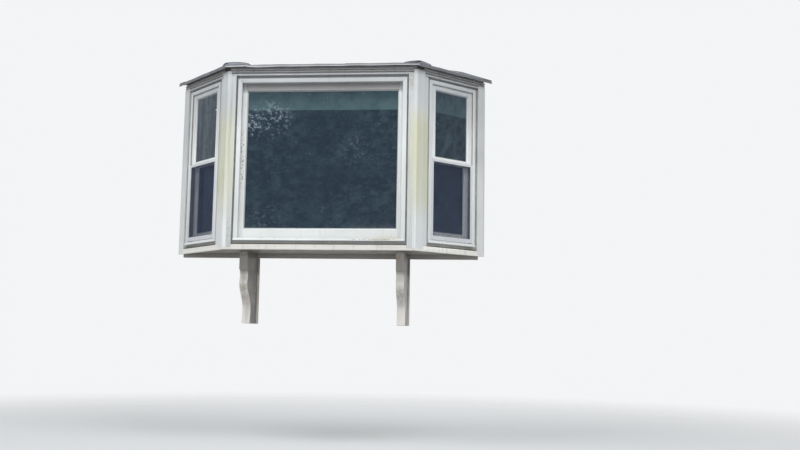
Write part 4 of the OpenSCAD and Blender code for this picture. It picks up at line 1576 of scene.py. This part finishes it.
@dataclass
class Litter:
    """Dead leaves and a twig that lie on a side skirt, under the window's sill.

    rises, longs, wides and bends are the limits, in millimetres, of what is drawn for a leaf: its
    height over the skirt, half its length, half its width and how far its tips bend up.
    """

    face: Face
    skirt: str
    leaves: int
    seed: int = 7
    start: float = 0.02
    spread: float = 0.46
    beyond: float = 0.2
    depths: Pair = (4 * MM, 10 * MM)
    rises: Pair = (0.4, 5.0)
    longs: Pair = (8.0, 18.0)
    wides: Pair = (3.0, 6.0)
    bends: Pair = (3.0, 8.0)
    thick: float = 1.2 * MM
    flat: float = 0.4
    tip: float = 0.35
    twig_o: float = 8 * MM
    twig_span: Pair = (0.05, 0.13)

    def _leaf(self, chance: random.Random, e: Extent) -> list[list[Triple]]:
        """Draw one leaf's place and size, and return the rings of a bent flake with narrow tips.

        Args:
            chance: the source of the draws.
            e: the skirt's extent.

        Returns:
            The rings at its first tip, its middle and its last tip.
        """
        s = chance.uniform(e.s0 + self.start, e.s0 + self.spread * (e.s1 - e.s0) + self.beyond)
        o, z = chance.uniform(*self.depths), e.z1 + chance.uniform(*self.rises) * MM
        long, wide = chance.uniform(*self.longs) * MM, chance.uniform(*self.wides) * MM
        turn, bend = chance.uniform(0, math.pi), chance.uniform(*self.bends) * MM
        rings = []
        for share in (-1.0, 0.0, 1.0):
            half, rise = wide * (self.tip if share else 1.0), z + bend * share * share
            mid_s = s + share * long * math.cos(turn)
            mid_o = o + share * self.flat * long * math.sin(turn)
            one = (mid_s - half * math.sin(turn), mid_o + self.flat * half)
            two = (mid_s + half * math.sin(turn), mid_o - self.flat * half)
            top = rise + self.thick
            rings.append([(*one, rise), (*two, rise), (*two, top), (*one, top)])
        return rings

    def build(self) -> None:
        """Scatter the leaves, with a twig among them."""
        e = self.face.extent(self.skirt)
        chance = random.Random(self.seed)
        shape = Shape(self.face)
        for _ in range(self.leaves):
            shape.skin(self._leaf(chance, e))
        o, half = self.twig_o, self.thick
        shape.length([(o, e.z1), (o + half, e.z1 + half), (o, e.z1 + 2 * half), (o - half, e.z1 + half)],
                     *(e.s0 + place for place in self.twig_span))
        shape.piece(f"{self.skirt}_litter", DEBRIS, "timber")


@dataclass
class PictureWindow:
    """The wide front unit: its frame, its fixed sash and the shaded top rail."""

    bay: Bay
    drop: float = 4 * MM
    extra: float = 4 * MM
    deep: float = 19 * MM

    def build(self) -> None:
        """Build the frame and the sash."""
        face = self.bay.face(Side.FRONT)
        WindowFrame(face, "picture_frame", drop=self.drop, extra=self.extra, deep=self.deep, recess=SHADED,
                    face_paint=FRONT_LIP).build()
        Sash(face, "picture_sash", "picture_glass", PICTURE, TOP_RAIL_SHADE, FRONT_PANE).build()


@dataclass
class SideWindow:
    """A double-hung side unit: frame, upper and lower sash, half screen, hardware and litter.

    The outlines of the lock's lever and of a lift are in millimetres.
    """

    bay: Bay
    side: Side
    lock_w: float = 58 * MM
    lock_h: float = 5 * MM
    lock_front: float = 4 * MM
    lock_back: float = 6 * MM
    lock_ease: Pair = (8 * MM, 4 * MM)
    lever_h: float = 6 * MM
    lift_w: float = 70 * MM
    lift_shares: Pair = (0.27, 0.73)
    knob_radius: float = 7 * MM
    knob_z: float = 1.075
    knob_step: float = 0.9
    knob_sink: float = 0.2 * MM
    soft: float = 1.2 * MM
    LEAVES: ClassVar[dict[Side, int]] = {Side.LEFT: 26, Side.RIGHT: 7}
    PANES: ClassVar[dict[Side, Glass]] = {Side.LEFT: LEFT_PANE, Side.RIGHT: RIGHT_PANE}
    LEVER: ClassVar[tuple[Pair, ...]] = ((-6, 12), (30, 14), (32, 20), (-6, 24))
    LIFT: ClassVar[tuple[Pair, ...]] = ((0, 20), (3, 20), (4, 34), (16, 40), (16, 43), (0, 43))

    def build(self) -> None:
        """Build the frame and what it holds."""
        face = self.bay.face(self.side)
        WindowFrame(face, face.named("window_frame")).build()
        for part in ("upper", "lower"):
            Sash(face, face.named(f"{part}_sash"), face.named(f"{part}_glass"), SIDE_SASH, SASH,
                 self.PANES[self.side]).build()
        Screen(face, face.named("screen")).build()
        self._hardware(face)
        if self.side is Side.LEFT:
            self._knob(face)
        Litter(face, face.named("skirt"), self.LEAVES[self.side]).build()

    def _knob(self, face: Face) -> None:
        """Build the white vent knob on the upper sash's stile next to the corner."""
        sash, pane = face.extent(face.named("upper_sash")), face.extent(face.named("upper_glass"))
        place = (pane.s1 + self.knob_step * self.knob_radius, sash.o0 + self.knob_sink, self.knob_z)
        shape = Shape(face)
        shape.dome(place, self.knob_radius, self.knob_radius)
        shape.piece(face.named("vent_knob"), HARDWARE, "sash_paint")

    def _hardware(self, face: Face) -> None:
        """Build the sash lock on the meeting rail and two lifts on the bottom rail, inside."""
        e = face.extent(face.named("lower_sash"))
        middle, half = (e.s0 + e.s1) / 2, self.lock_w / 2
        front, back, (ease_s, ease_o) = e.o0 + self.lock_front, e.o1 - self.lock_back, self.lock_ease
        shape = Shape(face)
        shape.upright([(middle - half, front + ease_o), (middle - half + ease_s, front),
                       (middle + half - ease_s, front), (middle + half, front + ease_o),
                       (middle + half, back), (middle - half, back)], e.z1, e.z1 + self.lock_h)
        shape.upright([(middle + s * MM, e.o0 + o * MM) for s, o in self.LEVER], e.z1 + self.lock_h,
                      e.z1 + self.lock_h + self.lever_h)
        for share in self.lift_shares:
            s = e.s0 + share * (e.s1 - e.s0)
            shape.length([(e.o1 + o * MM, e.z0 + z * MM) for o, z in self.LIFT], s - self.lift_w / 2,
                         s + self.lift_w / 2)
        shape.piece(face.named("sash_hardware"), HARDWARE, "sash_paint", self.soft)


@dataclass
class Underside:
    """The boarded underside with the strip that carries it along the wall."""

    bay: Bay
    back: float = 20 * MM
    inset: float = 20 * MM
    boards: int = 5
    joint: float = 2.2 * MM
    chamfer: float = 2.5 * MM
    board_soft: float = 0.6 * MM
    ledger_soft: float = 1.5 * MM

    def _board(self, y0: float, y1: float) -> list[Pair]:
        """Return a board's section between two depths, chamfered below."""
        low, high = (corner.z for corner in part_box("soffit_panel"))
        return [(y0, high), (y0, low + self.chamfer), (y0 + self.chamfer, low), (y1 - self.chamfer, low),
                (y1, low + self.chamfer), (y1, high)]

    def build(self) -> None:
        """Build the boards and dress the strip."""
        front = -(self.bay.projection - self.inset)
        wall = self.bay.wall_half - self.inset / math.sin(self.bay.turn)
        width = (-self.back - front) / self.boards
        shape = Shape()
        for k in range(self.boards):
            gap0 = 0.0 if k == 0 else self.joint / 2
            gap1 = 0.0 if k == self.boards - 1 else self.joint / 2
            section = self._board(front + k * width + gap0, front + (k + 1) * width - gap1)
            shape.skin([[(hand * (wall + y * self.bay.splay), y, z) for y, z in section]
                        for hand in (-1, 1)])
        piece = shape.piece("soffit_boards", SOFFIT, "soffit_paint", self.board_soft)
        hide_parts("soffit_panel")
        dress("wall_ledger", LEDGER, self.ledger_soft)


@dataclass
class Bracket:
    """A scrolled bracket: top block, swelling scroll and the plate on the wall.

    neck, bulge, hollow and foot are the scroll's turning points, in depth and level.
    """

    side: Side
    width: float = 62 * MM
    block_depth: float = 330 * MM
    block_h: float = 145 * MM
    neck: Pair = (300 * MM, -193 * MM)
    bulge: Pair = (314 * MM, -238 * MM)
    hollow: Pair = (194 * MM, -434 * MM)
    foot: Pair = (208 * MM, -544 * MM)
    under_block: float = 307 * MM
    ledger: Pair = (20 * MM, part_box("wall_ledger")[0].z)
    plate_t: float = 19 * MM
    steps: int = 14
    scroll_soft: float = 2.5 * MM
    scroll_smooth: float = 28.0
    plate_soft: float = 2 * MM

    def _scroll(self) -> list[Pair]:
        """Return the scroll's outline of depth and level, from the block's foot down and back."""
        top = -self.block_h
        turns = ((self.under_block, top), self.neck, self.bulge, self.hollow, self.foot)
        run = []
        for start, end in zip(turns, turns[1:]):
            for k in range(self.steps):
                share = k / self.steps
                ease = (1 - math.cos(math.pi * share)) / 2
                run.append((start[0] + (end[0] - start[0]) * ease, start[1] + (end[1] - start[1]) * share))
        return run + [self.foot, (self.plate_t, self.foot[1]), (self.plate_t, top)]

    def build(self) -> None:
        """Build the bracket in place of its solid."""
        node = f"{self.side.value}_bracket"
        finish = BRACKET if self.side is Side.LEFT else RIGHT_BRACKET
        low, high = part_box(node)
        middle = (low.x + high.x) / 2
        block = [self.ledger, (self.ledger[0], 0.0), (self.block_depth, 0.0),
                 (self.block_depth, -self.block_h), (self.plate_t, -self.block_h),
                 (self.plate_t, self.ledger[1])]
        shape, plate = Shape(), Shape()
        for outline in (block, self._scroll()):
            shape.skin([[(middle + hand * self.width / 2, -depth, z) for depth, z in outline]
                        for hand in (-1, 1)])
        body = shape.piece(f"{node}_scroll", finish, "bracket_paint", self.scroll_soft,
                           self.scroll_smooth)
        plate.upright([(low.x, -self.plate_t), (high.x, -self.plate_t), (high.x, 0.0), (low.x, 0.0)],
                      low.z, self.ledger[1])
        plate.piece(f"{node}_plate", finish, "bracket_paint", self.plate_soft)
        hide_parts(node)


@dataclass
class Inside:
    """Seat and head boards, wall jambs and corner posts."""

    soft: float = 1.5 * MM

    def build(self) -> None:
        """Dress the boards and posts of the inside."""
        for node in ("seat_board", "head_board"):
            dress(node, PLY, self.soft)
        for side in SIDES:
            dress(f"{side.value}_side_jamb", WHITE, self.soft)
            dress(f"{side.value}_corner_post", WOOD, self.soft)


@dataclass(frozen=True)
class Lamp:
    """A square soft lamp that faces the bay."""

    name: str
    place: Triple
    size: float
    power: float
    AIM: ClassVar[Triple] = (0.0, -0.2, 0.5)

    def hang(self) -> None:
        """Hang the lamp at its place."""
        data = bpy.data.lights.new(self.name, "AREA")
        data.size = self.size
        data.energy = self.power
        lamp = bpy.data.objects.new(self.name, data)
        lamp.location = self.place
        lamp.rotation_mode = "QUATERNION"
        lamp.rotation_quaternion = (Vector(self.AIM) - Vector(self.place)).to_track_quat("-Z", "Y")
        bpy.context.scene.collection.objects.link(lamp)


@dataclass
class Studio:
    """The pale floor, the soft lamps, the sky and the camera."""

    floor_z: float = -1.456
    floor_reach: float = 14.0
    floor_sides: int = 64
    camera_place: Triple = (1.278, -7.372, -0.651)
    yaw: float = -5.62
    pitch: float = 6.82
    roll: float = 0.92
    focal_px: float = 961.0
    frame_px: float = 800.0
    film: float = 36.0
    sky_heights: Pair = (-0.25, 0.6)
    sky_light: Pair = (0.06, 0.5)
    sky_colour: Colour = (0.96, 0.985, 1.0, 1.0)
    ground_colour: Colour = (0.9, 0.91, 0.92, 1.0)
    LAMPS: ClassVar[tuple[Lamp, ...]] = (Lamp("left_key", (-3.4, -4.4, 5.6), 4.0, 300.0),
                                         Lamp("right_key", (3.4, -4.4, 5.6), 4.0, 300.0),
                                         Lamp("front", (0.2, -7.8, -0.1), 2.2, 105.0),
                                         Lamp("back", (0.0, 5.5, 4.0), 4.0, 160.0))

    def camera(self) -> None:
        """Place the camera where the photograph was taken from."""
        yaw, pitch, roll = (math.radians(a) for a in (self.yaw, self.pitch, self.roll))
        ahead = Vector((math.sin(yaw) * math.cos(pitch), math.cos(yaw) * math.cos(pitch), math.sin(pitch)))
        right = Vector((math.cos(yaw), -math.sin(yaw), 0))
        up = right.cross(ahead)
        turned_right = math.cos(roll) * right + math.sin(roll) * up
        turned_up = math.cos(roll) * up - math.sin(roll) * right
        data = bpy.data.cameras.new("camera")
        data.sensor_width = self.film
        data.lens = self.film * self.focal_px / self.frame_px
        camera = bpy.data.objects.new("camera", data)
        axes = Matrix((turned_right, turned_up, -ahead)).transposed().to_4x4()
        camera.matrix_world = Matrix.Translation(self.camera_place) @ axes
        bpy.context.scene.collection.objects.link(camera)
        bpy.context.scene.camera = camera

    def sky(self) -> None:
        """Light the object from a sky that is dimmer below, and show a pale ground behind it."""
        graph = Graph(bpy.data.worlds.new("sky"))
        up = graph.axis(graph.node("ShaderNodeTexCoord").outputs["Generated"], "Z")
        strength = graph.node("ShaderNodeMapRange", Value=up, From_Min=self.sky_heights[0],
                              From_Max=self.sky_heights[1], To_Min=self.sky_light[0],
                              To_Max=self.sky_light[1]).outputs[0]
        light = graph.node("ShaderNodeBackground", Color=self.sky_colour, Strength=strength)
        pale = graph.node("ShaderNodeBackground", Color=self.ground_colour)
        path = graph.node("ShaderNodeLightPath")
        seen = path.outputs["Is Camera Ray"]
        for name in ("Is Glossy Ray", "Is Transmission Ray"):
            seen = graph.math("MAXIMUM", seen, path.outputs[name])
        graph.node("ShaderNodeOutputWorld", Surface=graph.join(seen, light.outputs[0], pale.outputs[0]))
        bpy.context.scene.world = graph.home

    def floor(self) -> None:
        """Lay the round floor."""
        shape = Shape()
        turns = [math.tau * k / self.floor_sides for k in range(self.floor_sides)]
        shape.mesh.faces.new([shape.point(self.floor_reach * math.cos(a), self.floor_reach * math.sin(a),
                                          self.floor_z) for a in turns])
        shape.piece("floor", FLOOR, "")

    def build(self) -> None:
        """Build the whole studio."""
        self.camera()
        for lamp in self.LAMPS:
            lamp.hang()
        self.sky()
        self.floor()
        bpy.context.scene.view_settings.view_transform = "Standard"


def main() -> None:
    """Build the bay's looks, piece by piece, and light it."""
    logging.basicConfig(level=logging.INFO, format="%(name)s %(message)s")
    bay = Bay()
    Studio().build()
    TrimBoards(bay).build()
    Fascia(bay).build()
    Roof(bay).build()
    PictureWindow(bay).build()
    for side in SIDES:
        SideWindow(bay, side).build()
        Bracket(side).build()
    Underside(bay).build()
    Inside().build()


if __name__ == "__main__":
    main()
